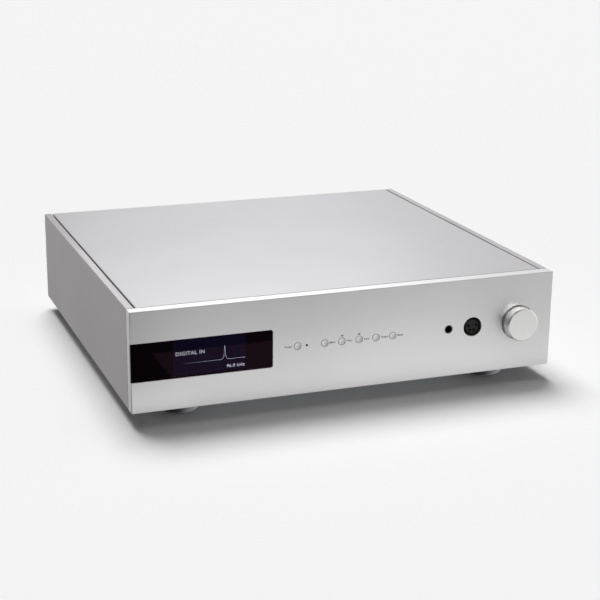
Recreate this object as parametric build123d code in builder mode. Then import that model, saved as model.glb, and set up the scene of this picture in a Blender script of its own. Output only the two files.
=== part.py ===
from build123d import *
from math import radians, tan
import os

# Full-width digital-to-analogue converter and headphone amplifier, as separate pieces.
# Millimetres. +X is to the right for someone facing the front, +Y runs from front to back, +Z is up.
# The origin is on the ground, under the middle of the whole object.

# ---- driving dimensions: the case ----
case_width = 444.0
case_depth = 408.0
case_height = 100.0
foot_height = 15.0
knob_reach = 12.0           # knob face ahead of the front face
barrel_reach = 10.0         # round sockets past the side panels' rear ends
front_thickness = 13.0
side_thickness = 8.0
lid_thickness = 5.0
base_thickness = 3.0
rear_thickness = 3.0
rear_inset = 2.0            # rear panel's outer face ahead of the side panels' ends
lid_slot = 1.5              # slot between the top cover and each side panel
edge_chamfer = 0.6
ledge_screw_inset = 33.0    # from the front face and from the rear ends
ledge_screw_count = 4
seam = 0.2                  # clearance between neighbouring plates
ledge_width = 10.0          # ledges inside each side panel
ledge_thickness = 4.0

# ---- front panel features ----
control_drop = 0.3          # line of the buttons and sockets below the case's middle
window_drop = 0.1           # window's middle below the case's middle
window_thickness = 3.0
window_corner = 2.3
window_rim_chamfer = 0.25
window_gap = 0.1
bond_ledge = 1.5            # ledge that the window is bonded to, above and below the display
display_width = 71.4
display_height = 35.0
display_left = 41.8         # from the panel's left end to the display
display_right = 27.0        # from the display to the window's inner end
display_fit = 0.4
display_board_margin = 4.0
board_thickness = 1.6
button_radius = 3.5
button_gap = 0.25
button_travel = 0.5
button_land = 4.0           # thickness of panel in front of a button's flange
button_flange_width = 1.4
button_flange_gap = 0.3
button_flange_thickness = 1.2
button_rest_gap = 0.1
button_stem_radius = 1.7
button_dish = 0.25
button_first = -56.3        # the power button
button_row_start = -28.2
button_pitch = 18.1
button_names = ["power", "menu", "filter", "input", "output", "mute"]
button_board_gap = 4.0      # between the front panel and the button board
switch_size = 6.0
switch_height = 3.5
switch_bore_gap = 0.3
receiver_x = -46.8
receiver_radius = 1.25
jack_from_end = 116.5       # from the panel's right end
jack_bore_radius = 3.2
jack_nose_radius = 4.05
jack_nose_gap = 0.1
jack_depth = 34.0
jack_body = (16.0, 18.0, 28.0)
headphone_from_end = 89.7
headphone_hole_radius = 9.85
headphone_insert_radius = 7.5
headphone_insert_recess = 1.5
headphone_depth = 16.0
headphone_body = (26.0, 26.0, 20.0)
headphone_contacts = [(-4.3, 1.1), (4.3, 1.1), (-2.2, -3.8), (2.2, -3.8)]
rim_chamfer = 0.4
button_rim_chamfer = 0.2

# ---- knob and encoder ----
knob_from_end = 38.4
knob_radius = 17.0
knob_chamfer = 1.0
knob_well_gap = 1.3
knob_well_depth = 3.0
knob_back_gap = 1.5
knob_hollow_radius = 9.5
knob_hollow_depth = 3.0
shaft_radius = 3.0
shaft_fit = 0.05
shaft_end_gap = 2.5         # solid metal between the shaft's end and the knob's face
encoder_web = 3.0           # panel left in front of the encoder
encoder_size = 24.0
encoder_depth = 11.0
encoder_pocket_gap = 1.0
encoder_pocket_corner = 3.0
bushing_radius = 4.5
bushing_gap = 0.1
bushing_length = 6.5
nut_flats = 12.0
nut_thickness = 2.0
grub_radius = 1.5
grub_length = 6.0
grub_from_face = 6.0

# ---- fasteners ----
screw_radius = 2.0
screw_length = 10.0
screw_head_radius = 4.0
screw_gap = 0.05
screw_hex = 2.5
screw_hex_depth = 1.5
small_screw_radius = 1.5
small_screw_length = 8.0
small_screw_head_radius = 2.9
bracket_leg = 14.0
bracket_thickness = 3.0
bracket_screw_rise = 24.0   # screws above and below a bracket's middle

# ---- feet ----
foot_from_side = 56.0
foot_from_front = 42.0
foot_radius = 20.5
foot_rim = 3.0              # metal left around a pad
foot_pad_gap = 0.1
foot_pad_proud = 1.2        # pad below the metal
foot_pad_depth = 3.0        # pad inside the metal
foot_pad_hole = 5.0
foot_head_pocket = 4.5
foot_head_pocket_depth = 4.0
foot_head_radius = 3.5
foot_head_height = 2.5
foot_chamfer = 0.8
foot_groove_radius = 1.0
foot_screw_reach = 4.0      # past the base plate

# ---- rear connectors: two rows, the outputs placed from the left side and the mains from the right ----
row_drop = 1.0              # middle of the two rows below the case's middle
row_spacing = 40.0
left_output_from_side = 46.0
output_pitch = 38.0
digital_input_x = -66.0
clock_x = -26.0
optical_x = -32.0
usb_x = 2.0
network_x = 40.0
mains_from_side = 62.0
mains_drop = 3.0
flange_margin = 1.2         # flange past the round shell, each side
flange_extra_height = 5.0
flange_screw_inset = 3.5
flange_thickness = 2.5
flange_corner = 3.0
shell_outer_radius = 11.8
shell_gap = 0.2
shell_rear = 20.0           # behind the rear panel's outer face
plug_bore_radius = 9.4
socket_bore_radius = 9.6
socket_insert_radius = 7.3
socket_insert_recess = 1.5
shell_bore_depth = 15.5
pin_radius = 1.2
pin_circle = 4.0
pin_recess = 2.5
pin_tail = 4.0
pin_fit = 0.02
insert_fit = 0.05           # insert in its shell
contact_outer_radius = 1.6
contact_bore_radius = 1.3
key_notch = (4.0, 1.4)
latch_width = 4.6
latch_height = 1.5
latch_gap = 0.3
latch_proud = 1.4
latch_travel = 1.2
latch_length = 13.0
latch_boss_width = 9.0
latch_boss_wall = 0.9
phono_radius = 4.15
phono_bore_radius = 3.4
phono_collar_flats = 11.0
phono_collar_length = 3.0
phono_body_radius = 3.9
phono_body_depth = 12.0
phono_insulator_recess = 0.6
phono_hole_radius = 1.6
phono_hole_depth = 12.0
insulator_fit = 0.02
bnc_radius = 4.8
bnc_bore_radius = 4.05
bnc_core_radius = 2.4
bnc_core_recess = 2.0
bnc_pin_radius = 0.7
bnc_lug_radius = 1.0
bnc_lug_reach = 5.6
bnc_lug_from_end = 4.0
bnc_collar_flats = 14.0
bnc_body_radius = 6.0
optical_block = (14.0, 13.0)
optical_depth = 16.0
optical_proud = 1.5
optical_mouth = 8.8
optical_cavity_depth = 12.0
shutter_gap = 0.3
shutter_thickness = 1.0
shutter_set_back = 1.0
shutter_pin_radius = 0.5
shutter_pin_gap = 0.08
shutter_pin_length = 0.7
usb_shell = (12.0, 11.0, 18.0)
usb_mouth = (8.5, 7.8)
usb_mouth_corner = 1.6
usb_depth = 12.0
usb_tongue = (5.6, 3.2, 9.0)
usb_proud = 0.8
network_shell = (16.0, 13.6, 21.0)
network_mouth = (11.8, 6.8)
network_clip = (6.2, 3.0)
network_depth = 14.0
network_proud = 0.8
cut_out_gap = 0.3

# ---- mains inlet: rocker at the top, fuse drawer in the middle, socket at the bottom ----
mains_flange_thickness = 3.0
mains_flange_side = 2.0     # flange past the body, each side
mains_flange_end = 9.0      # flange past the body, above and below
mains_flange_corner = 3.0
mains_wall = 2.95           # above, below and between the three openings
mains_side_wall = 1.8
mains_body_depth = 34.0
inlet_width = 24.4
inlet_height = 16.6
inlet_corner = 4.5
inlet_depth = 17.0
blade = (2.0, 4.0, 16.0)    # width, height and length in front of the cavity's floor
blade_tail = 6.0
blade_spread = 7.0
blade_rise = 2.0
blade_fit = 0.02
drawer_side_wall = 1.5
drawer_depth = 18.0
drawer_gap = 0.3
drawer_lip = 1.2
drawer_wall = 1.2
fuse_radius = 2.6
fuse_length = 20.0
rocker_width = 19.0
rocker_radius = 6.3
rocker_gap = 0.4
rocker_valley = 3.0         # from the pivot to the fold between the rocker's two faces
rocker_tilt = 10.0          # either side of level: it stands pressed in at the top, which is on
rocker_trunnion_radius = 1.3
rocker_trunnion_length = 1.5
rocker_trunnion_gap = 0.08

# ---- inside ----
standoff_height = 8.0
standoff_radius = 3.0
converter_board = (160.0, 150.0)
digital_board = (100.0, 120.0)
power_board = (92.0, 130.0)
board_from_rear = 50.0      # from the rear panel to the signal boards
board_from_side = 19.0
digital_board_x = 25.0
power_board_gap = 18.0      # behind the transformer
board_hole_inset = 5.0
wall_from_board = 9.0       # screening wall beside the power board
wall_thickness = 1.5
wall_height = 74.0
wall_foot = 12.0
wall_from_front = 40.0
transformer_radius = 52.0
transformer_bore = 16.0
transformer_height = 44.0
transformer_from_front = 80.0
transformer_corner = 12.0
transformer_plate_radius = 26.0
transformer_plate_thickness = 2.5
transformer_bolt_radius = 4.0
transformer_bolt_head = 6.5
capacitor_radius = 12.5
capacitor_height = 40.0
capacitor_gap = 4.0
vent_slot = (3.0, 44.0)
vent_pitch = 9.0
vent_count = 7

# ---- where things stand ----
half_width = case_width / 2
front_y = knob_reach - (knob_reach + case_depth + barrel_reach) / 2
front_back_y = front_y + front_thickness
case_back_y = front_y + case_depth
rear_y = case_back_y - rear_inset
rear_inner_y = rear_y - rear_thickness
barrel_y = case_back_y + barrel_reach
floor_z = foot_height
base_top_z = floor_z + base_thickness
top_z = floor_z + case_height
lid_z = top_z - lid_thickness
middle_z = floor_z + case_height / 2
control_z = middle_z - control_drop
side_inner_x = half_width - side_thickness
side_length = case_back_y - front_back_y
window_width = display_left + display_width + display_right
window_height = display_height + 2 * bond_ledge
window_x = -half_width + window_width / 2
window_z = middle_z - window_drop
window_back_y = front_y + window_thickness
display_x = -half_width + display_left + display_width / 2
button_x = [button_first] + [button_row_start + button_pitch * i for i in range(5)]
button_flange_radius = button_radius + button_flange_width
jack_x = half_width - jack_from_end
headphone_x = half_width - headphone_from_end
knob_x = half_width - knob_from_end
button_step_y = front_y + button_land
button_board_y = front_back_y + button_board_gap
switch_face_y = button_board_y - switch_height
well_y = front_y + knob_well_depth
well_radius = knob_radius + knob_well_gap
knob_face_y = front_y - knob_reach
encoder_face_y = well_y + encoder_web
encoder_back_y = encoder_face_y + encoder_depth
shaft_end_y = knob_face_y + shaft_end_gap
upper_z = middle_z - row_drop + row_spacing / 2
lower_z = middle_z - row_drop - row_spacing / 2
left_output_x = left_output_from_side - half_width
right_output_x = left_output_x + output_pitch
flange_width = 2 * (shell_outer_radius + flange_margin)
flange_height = flange_width + flange_extra_height
flange_screw_x = flange_width / 2 - flange_screw_inset
flange_screw_z = flange_height / 2 - flange_screw_inset
latch_rise = shell_outer_radius + 2 * latch_gap + latch_height / 2
latch_slot_top = latch_rise + latch_height / 2 + latch_gap
latch_boss = (latch_boss_width, latch_slot_top + latch_boss_wall)
mains_x = half_width - mains_from_side
mains_z = middle_z - mains_drop
drawer_width = fuse_length + 2 * drawer_side_wall
drawer_height = 2 * (fuse_radius + drawer_wall)
rocker_mouth = 2 * (rocker_radius + rocker_gap)
mains_body_width = max(inlet_width, drawer_width + 2 * drawer_gap) + 2 * mains_side_wall
mains_body_height = inlet_height + drawer_height + 2 * drawer_gap + rocker_mouth + 4 * mains_wall
mains_flange = (mains_body_width + 2 * mains_flange_side, mains_body_height + 2 * mains_flange_end,
                mains_flange_thickness)
mains_screw_rise = (mains_body_height + mains_flange_end) / 2
flange_face_y = rear_y + flange_thickness
pin_spots = [(-pin_circle, 0.0), (pin_circle, 0.0), (0.0, -pin_circle)]
board_z = base_top_z + standoff_height
converter_middle = (-side_inner_x + board_from_side + converter_board[0] / 2,
                    rear_inner_y - board_from_rear - converter_board[1] / 2)
digital_middle = (digital_board_x, rear_inner_y - board_from_rear - digital_board[1] / 2)
transformer_middle = (side_inner_x - board_from_side - power_board[0] / 2,
                      front_back_y + transformer_from_front)
power_middle = (transformer_middle[0],
                transformer_middle[1] + transformer_radius + power_board_gap + power_board[1] / 2)
wall_x = power_middle[0] - power_board[0] / 2 - wall_from_board
wall_start = front_back_y + wall_from_front
capacitor_pitch = 2 * capacitor_radius + capacitor_gap
foot_x = half_width - foot_from_side
foot_pad_radius = foot_radius - foot_rim
foot_front_y = front_y + foot_from_front
foot_rear_y = case_back_y - foot_from_front
foot_spots = [(x, y) for x in (-foot_x, foot_x) for y in (foot_front_y, foot_rear_y)]
bracket_bottom_z = base_top_z + ledge_thickness
bracket_top_z = lid_z - ledge_thickness
bracket_z = (bracket_bottom_z + bracket_top_z) / 2
bracket_screw_z = [bracket_z - bracket_screw_rise, bracket_z + bracket_screw_rise]
bracket_screw_x = side_inner_x - (bracket_leg + bracket_thickness) / 2
bracket_front_screw_y = front_back_y + (bracket_leg + bracket_thickness) / 2
bracket_rear_screw_y = rear_inner_y - (bracket_leg + bracket_thickness) / 2
ledge_screw_x = side_inner_x - ledge_width / 2
ledge_screw_step = (case_depth - 2 * ledge_screw_inset) / (ledge_screw_count - 1)
ledge_screw_y = [front_y + ledge_screw_inset + ledge_screw_step * i for i in range(ledge_screw_count)]
rib_depth = 8.0
rib_height = 8.0
rib_half_width = side_inner_x - bracket_leg - 5.0
rib_screw_x = [-150.0, 0.0, 150.0]
rib_screw_z = lid_z - rib_height / 2
tongue_length = 3.0
tongue_thickness = 2.0
tongue_gap = 0.2
tongue_z = lid_z - rib_height / 2


def across(y):
    """A plane at depth y: its x is +X, its y is +Z, and a positive extrusion comes towards the front."""
    return Plane.XZ.offset(-y)


def facing(x, y, z, direction):
    """A plane at a point, looking along a direction."""
    return Plane(origin=(x, y, z), z_dir=direction)


def window_outline(plane, gap):
    """The window's outline, square at the panel's end and rounded at the inner end."""
    with BuildSketch(plane) as outline:
        with Locations((window_x - gap / 2, window_z)):
            Rectangle(window_width - gap, window_height - 2 * gap)
        fillet(outline.vertices().group_by(Axis.X)[-1], window_corner - gap)
    return outline.sketch


# ---- screws: the places that take one, each looking out of the screw's head ----
base_screw_planes = [
    facing(side * ledge_screw_x, y, floor_z, (0, 0, -1)) for side in (-1, 1) for y in ledge_screw_y
]
bracket_front_planes = [
    facing(side * bracket_screw_x, front_back_y + bracket_thickness, z, (0, 1, 0))
    for side in (-1, 1) for z in bracket_screw_z
]
bracket_rear_planes = [
    facing(side * bracket_screw_x, rear_y, z, (0, 1, 0)) for side in (-1, 1) for z in bracket_screw_z
]
bracket_side_planes = [
    facing(side * (side_inner_x - bracket_thickness), y, z, (-side, 0, 0))
    for side in (-1, 1) for z in bracket_screw_z for y in (bracket_front_screw_y, bracket_rear_screw_y)
]
lid_screw_planes = [facing(x, rear_y, rib_screw_z, (0, 1, 0)) for x in rib_screw_x]
flange_centres = [
    (left_output_x, upper_z), (right_output_x, upper_z), (digital_input_x, upper_z)
]
flange_screw_planes = [
    facing(x + turn * flange_screw_x, flange_face_y, z + turn * flange_screw_z, (0, 1, 0))
    for x, z in flange_centres for turn in (-1, 1)
]
mains_screw_planes = [
    facing(mains_x, rear_y + mains_flange[2], mains_z + side * mains_screw_rise, (0, 1, 0))
    for side in (-1, 1)
]


def screw_hole(depth):
    """A countersunk hole for a case screw."""
    CounterSinkHole(screw_radius + screw_gap, screw_head_radius + screw_gap, depth=depth,
                    counter_sink_angle=90)


def small_screw_hole(depth):
    """A countersunk hole for a connector screw."""
    CounterSinkHole(small_screw_radius + screw_gap, small_screw_head_radius + screw_gap, depth=depth,
                    counter_sink_angle=90)


def countersunk_screw(radius, head_radius, length, hexagon, hexagon_depth):
    """One countersunk screw, its head's face at the origin and its shank pointing down."""
    with BuildPart() as screw:
        with BuildSketch(Plane.XZ):
            with BuildLine():
                Polyline((0, 0), (head_radius, 0), (radius, radius - head_radius), (radius, -length),
                         (0, -length), close=True)
            make_face()
        revolve(axis=Axis.Z)
        with BuildSketch(Plane.XY):
            RegularPolygon(hexagon / 2, 6, major_radius=False)
        extrude(amount=-hexagon_depth, mode=Mode.SUBTRACT)
    return screw.part


def copies(piece, planes):
    """The same piece at every plane, as one group of separate solids."""
    with BuildPart() as group:
        with Locations(*planes):
            add(piece)
    return group


# ---- front panel ----
with BuildPart() as front_panel:
    with BuildSketch(across(front_back_y)):
        with Locations((0, middle_z)):
            Rectangle(case_width, case_height)
    extrude(amount=front_thickness)
    chamfer(front_panel.edges(), edge_chamfer)
    extrude(window_outline(across(window_back_y), 0.0), amount=window_thickness, mode=Mode.SUBTRACT)
    cutout_rims = front_panel.edges().group_by(Axis.Y)[0].filter_by(
        lambda rim: abs(rim.center().Z - window_z) < window_height / 2 + seam
        and -half_width + edge_chamfer < rim.center().X < 0)
    chamfer(cutout_rims, window_rim_chamfer)
    with BuildSketch(across(front_back_y)):
        with Locations((display_x, window_z)):
            Rectangle(display_width, display_height)
    extrude(amount=front_thickness, mode=Mode.SUBTRACT)
    with BuildSketch(across(front_back_y)):
        with Locations(*[(x, control_z) for x in button_x]):
            Circle(button_radius + button_gap)
        with Locations((receiver_x, control_z)):
            Circle(receiver_radius)
        with Locations((jack_x, control_z)):
            Circle(jack_nose_radius + jack_nose_gap)
        with Locations((headphone_x, control_z)):
            Circle(headphone_hole_radius)
        with Locations((knob_x, control_z)):
            Circle(bushing_radius + bushing_gap)
    extrude(amount=front_thickness, mode=Mode.SUBTRACT)
    front_rims = front_panel.edges().filter_by(GeomType.CIRCLE).group_by(Axis.Y)[0]
    chamfer([rim for rim in front_rims if rim.radius > button_radius + 2 * button_gap], rim_chamfer)
    small_rims = front_panel.edges().filter_by(GeomType.CIRCLE).group_by(Axis.Y)[0]
    chamfer(
        [rim for rim in small_rims if abs(rim.radius - button_radius - button_gap) < button_gap / 10],
        button_rim_chamfer,
    )
    with BuildSketch(across(front_back_y)):
        with Locations(*[(x, control_z) for x in button_x]):
            Circle(button_flange_radius + button_flange_gap)
    extrude(amount=front_thickness - button_land, mode=Mode.SUBTRACT)
    with BuildSketch(across(well_y)):
        with Locations((knob_x, control_z)):
            Circle(well_radius)
    extrude(amount=knob_well_depth, mode=Mode.SUBTRACT)
    with BuildSketch(across(front_back_y)):
        with Locations((knob_x, control_z)):
            RectangleRounded(encoder_size + 2 * encoder_pocket_gap, encoder_size + 2 * encoder_pocket_gap,
                             encoder_pocket_corner)
    extrude(amount=front_back_y - encoder_face_y, mode=Mode.SUBTRACT)
    with BuildSketch(across(front_back_y)):
        with Locations((0, tongue_z)):
            Rectangle(2 * (rib_half_width + tongue_gap), tongue_thickness + 2 * tongue_gap)
    extrude(amount=tongue_length + tongue_gap, mode=Mode.SUBTRACT)
    with Locations(*bracket_front_planes):
        Cylinder(screw_radius + screw_gap, 2 * (screw_length + screw_gap), mode=Mode.SUBTRACT)
front_panel.part.label = "front_panel"


# ---- side panels ----
def side_panel(side, label):
    """A plain plate with a ledge for the top cover and a ledge for the base plate."""
    with BuildPart() as panel:
        with BuildSketch(across(case_back_y)):
            with Locations((side * (half_width - side_thickness / 2), middle_z)):
                Rectangle(side_thickness, case_height)
        extrude(amount=side_length)
        chamfer(panel.edges(), edge_chamfer)
        with BuildSketch(across(rear_inner_y)):
            with Locations((side * ledge_screw_x, base_top_z + ledge_thickness / 2),
                           (side * ledge_screw_x, lid_z - ledge_thickness / 2)):
                Rectangle(ledge_width, ledge_thickness)
        extrude(amount=rear_inner_y - front_back_y)
        with Locations(*[plane for plane in base_screw_planes if plane.origin.X * side > 0]):
            Cylinder(screw_radius + screw_gap, 2 * screw_length, mode=Mode.SUBTRACT)
        with Locations(*[plane for plane in bracket_side_planes if plane.origin.X * side > 0]):
            Cylinder(screw_radius + screw_gap, 2 * (screw_length + screw_gap), mode=Mode.SUBTRACT)
    panel.part.label = label
    return panel


left_side_panel = side_panel(-1, "left_side_panel")
right_side_panel = side_panel(1, "right_side_panel")

# ---- top cover: a tongue at the front goes into the front panel, screws hold the rib at the back ----
with BuildPart() as top_cover:
    with BuildSketch(Plane.XY.offset(lid_z)):
        with Locations((0, (front_back_y + seam + case_back_y) / 2)):
            Rectangle(2 * (side_inner_x - lid_slot), side_length - seam)
    extrude(amount=lid_thickness)
    chamfer(top_cover.faces().sort_by(Axis.Z)[-1].edges(), edge_chamfer)
    with BuildSketch(Plane.XY.offset(lid_z)):
        with Locations((0, rear_inner_y - seam - rib_depth / 2),
                       (0, front_back_y + seam + rib_depth / 2)):
            Rectangle(2 * rib_half_width, rib_depth)
    extrude(amount=-rib_height)
    with BuildSketch(across(front_back_y + seam)):
        with Locations((0, tongue_z)):
            Rectangle(2 * rib_half_width, tongue_thickness)
    extrude(amount=tongue_length)
    with Locations(*lid_screw_planes):
        Cylinder(screw_radius + screw_gap, 2 * (screw_length + screw_gap), mode=Mode.SUBTRACT)
top_cover.part.label = "top_cover"

# ---- base plate, with its air slots ----
with BuildPart() as base_plate:
    with BuildSketch(Plane.XY.offset(floor_z)):
        with Locations((0, (front_back_y + seam + case_back_y) / 2)):
            Rectangle(2 * (side_inner_x - seam), side_length - seam)
        for slot_x, slot_y in (converter_middle, power_middle):
            with Locations((slot_x, slot_y)):
                with GridLocations(vent_pitch, 0, vent_count, 1):
                    SlotOverall(vent_slot[1], vent_slot[0], rotation=90, mode=Mode.SUBTRACT)
    extrude(amount=base_thickness)
    with Locations(*base_screw_planes):
        screw_hole(base_thickness)
    with Locations(*foot_spots):
        Cylinder(screw_radius + screw_gap, 2 * top_z, mode=Mode.SUBTRACT)
    with Locations(transformer_middle):
        Cylinder(transformer_bolt_radius + screw_gap, 2 * top_z, mode=Mode.SUBTRACT)
base_plate.part.label = "base_plate"

# ---- rear panel, with a cut-out for each connector ----
with BuildPart() as rear_panel:
    with BuildSketch(across(rear_y)):
        with Locations((0, (base_top_z + lid_z) / 2)):
            Rectangle(2 * (side_inner_x - seam), lid_z - base_top_z - seam)
        with Locations(*flange_centres):
            Circle(shell_outer_radius + shell_gap, mode=Mode.SUBTRACT)
        with Locations((digital_input_x, upper_z + latch_boss[1] / 2)):
            Rectangle(latch_boss[0] + 2 * shell_gap, latch_boss[1] + 2 * shell_gap, mode=Mode.SUBTRACT)
        with Locations(*[(x, lower_z) for x in (left_output_x, right_output_x, digital_input_x)]):
            Circle(phono_body_radius + shell_gap, mode=Mode.SUBTRACT)
        with Locations((clock_x, upper_z)):
            Circle(bnc_body_radius + shell_gap, mode=Mode.SUBTRACT)
        with Locations((optical_x, lower_z)):
            Rectangle(optical_block[0] + 2 * cut_out_gap, optical_block[1] + 2 * cut_out_gap,
                      mode=Mode.SUBTRACT)
        with Locations((usb_x, lower_z)):
            Rectangle(usb_shell[0] + 2 * cut_out_gap, usb_shell[1] + 2 * cut_out_gap, mode=Mode.SUBTRACT)
        with Locations((network_x, lower_z)):
            Rectangle(network_shell[0] + 2 * cut_out_gap, network_shell[1] + 2 * cut_out_gap,
                      mode=Mode.SUBTRACT)
        with Locations((mains_x, mains_z)):
            Rectangle(mains_body_width + 2 * cut_out_gap, mains_body_height + 2 * cut_out_gap,
                      mode=Mode.SUBTRACT)
    extrude(amount=rear_thickness)
    with Locations(*bracket_rear_planes, *lid_screw_planes):
        screw_hole(rear_thickness)
    with Locations(*flange_screw_planes, *mains_screw_planes):
        Cylinder(small_screw_radius + screw_gap, 4 * small_screw_length, mode=Mode.SUBTRACT)
rear_panel.part.label = "rear_panel"

# ---- corner brackets: an angle in each inner corner ----
with BuildPart() as corner_brackets:
    with BuildSketch(Plane.XY.offset(bracket_bottom_z)):
        for side in (-1, 1):
            for wall_y, inward in ((front_back_y, 1), (rear_inner_y, -1)):
                with Locations((side * (side_inner_x - bracket_leg / 2),
                                wall_y + inward * bracket_thickness / 2)):
                    Rectangle(bracket_leg, bracket_thickness)
                with Locations((side * (side_inner_x - bracket_thickness / 2),
                                wall_y + inward * bracket_leg / 2)):
                    Rectangle(bracket_thickness, bracket_leg)
    extrude(amount=bracket_top_z - bracket_bottom_z)
    with Locations(*bracket_front_planes, *bracket_side_planes):
        screw_hole(bracket_thickness)
    with Locations(*bracket_rear_planes):
        Cylinder(screw_radius + screw_gap, 4 * screw_length, mode=Mode.SUBTRACT)
corner_brackets.part.label = "corner_brackets"

# ---- screws ----
case_screw = countersunk_screw(screw_radius, screw_head_radius, screw_length, screw_hex, screw_hex_depth)
case_screws = copies(case_screw, [*base_screw_planes, *bracket_front_planes, *bracket_rear_planes,
                                  *bracket_side_planes, *lid_screw_planes])
case_screws.part.label = "case_screws"
connector_screw = countersunk_screw(small_screw_radius, small_screw_head_radius, small_screw_length,
                                    screw_hex - 0.5, screw_hex_depth)
connector_screws = copies(connector_screw, flange_screw_planes + mains_screw_planes)
connector_screws.part.label = "connector_screws"

# ---- feet: a turned ring, a pad let into it, and a screw up through both into the base ----
pad_top_z = foot_pad_proud + foot_pad_depth
head_top_z = pad_top_z + foot_head_pocket_depth
with BuildPart() as foot:
    with BuildSketch(Plane.XZ):
        with Locations(((foot_head_pocket + foot_radius) / 2, (foot_pad_proud + foot_height) / 2)):
            Rectangle(foot_radius - foot_head_pocket, foot_height - foot_pad_proud)
        with Locations(((screw_radius + screw_gap + foot_head_pocket) / 2,
                        (head_top_z + foot_height) / 2)):
            Rectangle(foot_head_pocket - screw_radius - screw_gap, foot_height - head_top_z)
        with Locations(((foot_pad_radius + foot_pad_gap) / 2, (foot_pad_proud + pad_top_z) / 2)):
            Rectangle(foot_pad_radius + foot_pad_gap, foot_pad_depth, mode=Mode.SUBTRACT)
        with Locations((foot_radius, foot_height - foot_pad_depth)):
            Circle(foot_groove_radius, mode=Mode.SUBTRACT)
    revolve(axis=Axis.Z)
    outer_rims = foot.edges().filter_by(GeomType.CIRCLE).filter_by(
        lambda rim: abs(rim.radius - foot_radius) < foot_pad_gap)
    chamfer([outer_rims.sort_by(Axis.Z)[0], outer_rims.sort_by(Axis.Z)[-1]], foot_chamfer)
foot_planes = [facing(x, y, 0, (0, 0, 1)) for x, y in foot_spots]
feet = copies(foot.part, foot_planes)
feet.part.label = "feet"

with BuildPart() as foot_pads:
    with BuildSketch(Plane.XY):
        with Locations(*foot_spots):
            Circle(foot_pad_radius)
            Circle(foot_pad_hole, mode=Mode.SUBTRACT)
    extrude(amount=pad_top_z)
    fillet(foot_pads.edges().group_by(Axis.Z)[0].filter_by(
        lambda rim: rim.radius > foot_pad_hole * 2), foot_chamfer)
foot_pads.part.label = "foot_pads"

with BuildPart() as foot_screws:
    with BuildSketch(Plane.XY.offset(head_top_z)):
        with Locations(*foot_spots):
            Circle(foot_head_radius)
    extrude(amount=-foot_head_height)
    with BuildSketch(Plane.XY.offset(head_top_z)):
        with Locations(*foot_spots):
            Circle(screw_radius)
    extrude(amount=base_top_z + foot_screw_reach - head_top_z)
    with BuildSketch(Plane.XY.offset(head_top_z - foot_head_height)):
        with Locations(*foot_spots):
            RegularPolygon(screw_hex / 2, 6, major_radius=False)
    extrude(amount=screw_hex_depth, mode=Mode.SUBTRACT)
foot_screws.part.label = "foot_screws"

# ---- display: window, module and board ----
with BuildPart() as display_window:
    extrude(window_outline(across(window_back_y), window_gap), amount=window_thickness)
    chamfer(display_window.faces().sort_by(Axis.Y)[0].edges(), window_gap * 2)
display_window.part.label = "display_window"

module_width = display_width - 2 * display_fit
module_height = display_height - 2 * display_fit
with BuildPart() as display_panel:
    with BuildSketch(across(front_back_y)):
        with Locations((display_x, window_z)):
            RectangleRounded(module_width, module_height, display_fit)
    extrude(amount=front_back_y - window_back_y - seam)
display_panel.part.label = "display_panel"

display_board_size = (display_width + 2 * display_board_margin, display_height + 2 * display_board_margin)
display_hole_spots = GridLocations(display_board_size[0] - display_board_margin,
                                   display_board_size[1] - display_board_margin, 2, 2).local_locations
with BuildPart() as display_board:
    with BuildSketch(across(front_back_y + board_thickness)):
        with Locations((display_x, window_z)):
            RectangleRounded(*display_board_size, screw_radius)
            with Locations(*display_hole_spots):
                Circle(small_screw_radius, mode=Mode.SUBTRACT)
    extrude(amount=board_thickness)
display_board.part.label = "display_board"


# ---- push buttons: the cap is flush, its flange sits behind the panel's step ----
def push_button(x, label):
    """A turned cap with a shallow dish, a flange that keeps it in, and a stem into its switch."""
    flange_y = button_step_y + button_rest_gap
    with BuildPart() as button:
        with BuildSketch(across(flange_y)):
            with Locations((x, control_z)):
                Circle(button_radius)
        extrude(amount=flange_y - front_y)
        chamfer(button.faces().sort_by(Axis.Y)[0].edges(), button_rim_chamfer)
        with BuildSketch(across(flange_y + button_flange_thickness)):
            with Locations((x, control_z)):
                Circle(button_flange_radius)
        extrude(amount=button_flange_thickness)
        stem_end_y = switch_face_y + switch_height / 2
        with BuildSketch(across(stem_end_y)):
            with Locations((x, control_z)):
                Circle(button_stem_radius)
        extrude(amount=stem_end_y - flange_y)
        dish_radius = (button_radius - 2 * button_rim_chamfer) ** 2 / (2 * button_dish) + button_dish / 2
        with Locations((x, front_y + button_dish - dish_radius, control_z)):
            Sphere(dish_radius, mode=Mode.SUBTRACT)
    button.part.label = label
    return button


buttons = [push_button(x, name + "_button") for x, name in zip(button_x, button_names)]

button_board_left = button_x[0] - switch_size - board_hole_inset
button_board_right = button_x[-1] + switch_size + board_hole_inset
button_board_middle = (button_board_left + button_board_right) / 2
button_board_width = button_board_right - button_board_left
button_board_height = 3 * switch_size
spacer_x = [button_x[0] + switch_size, (button_x[1] + button_x[2]) / 2,
            (button_x[3] + button_x[4]) / 2, button_x[-1] + switch_size]
button_spacer_spots = [(x, control_z + side * switch_size) for x in spacer_x for side in (-1, 1)]
with BuildPart() as button_board:
    with BuildSketch(across(button_board_y + board_thickness)):
        with Locations((button_board_middle, control_z)):
            RectangleRounded(button_board_width, button_board_height, screw_radius)
        with Locations(*button_spacer_spots):
            Circle(small_screw_radius, mode=Mode.SUBTRACT)
    extrude(amount=board_thickness)
button_board.part.label = "button_board"

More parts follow.
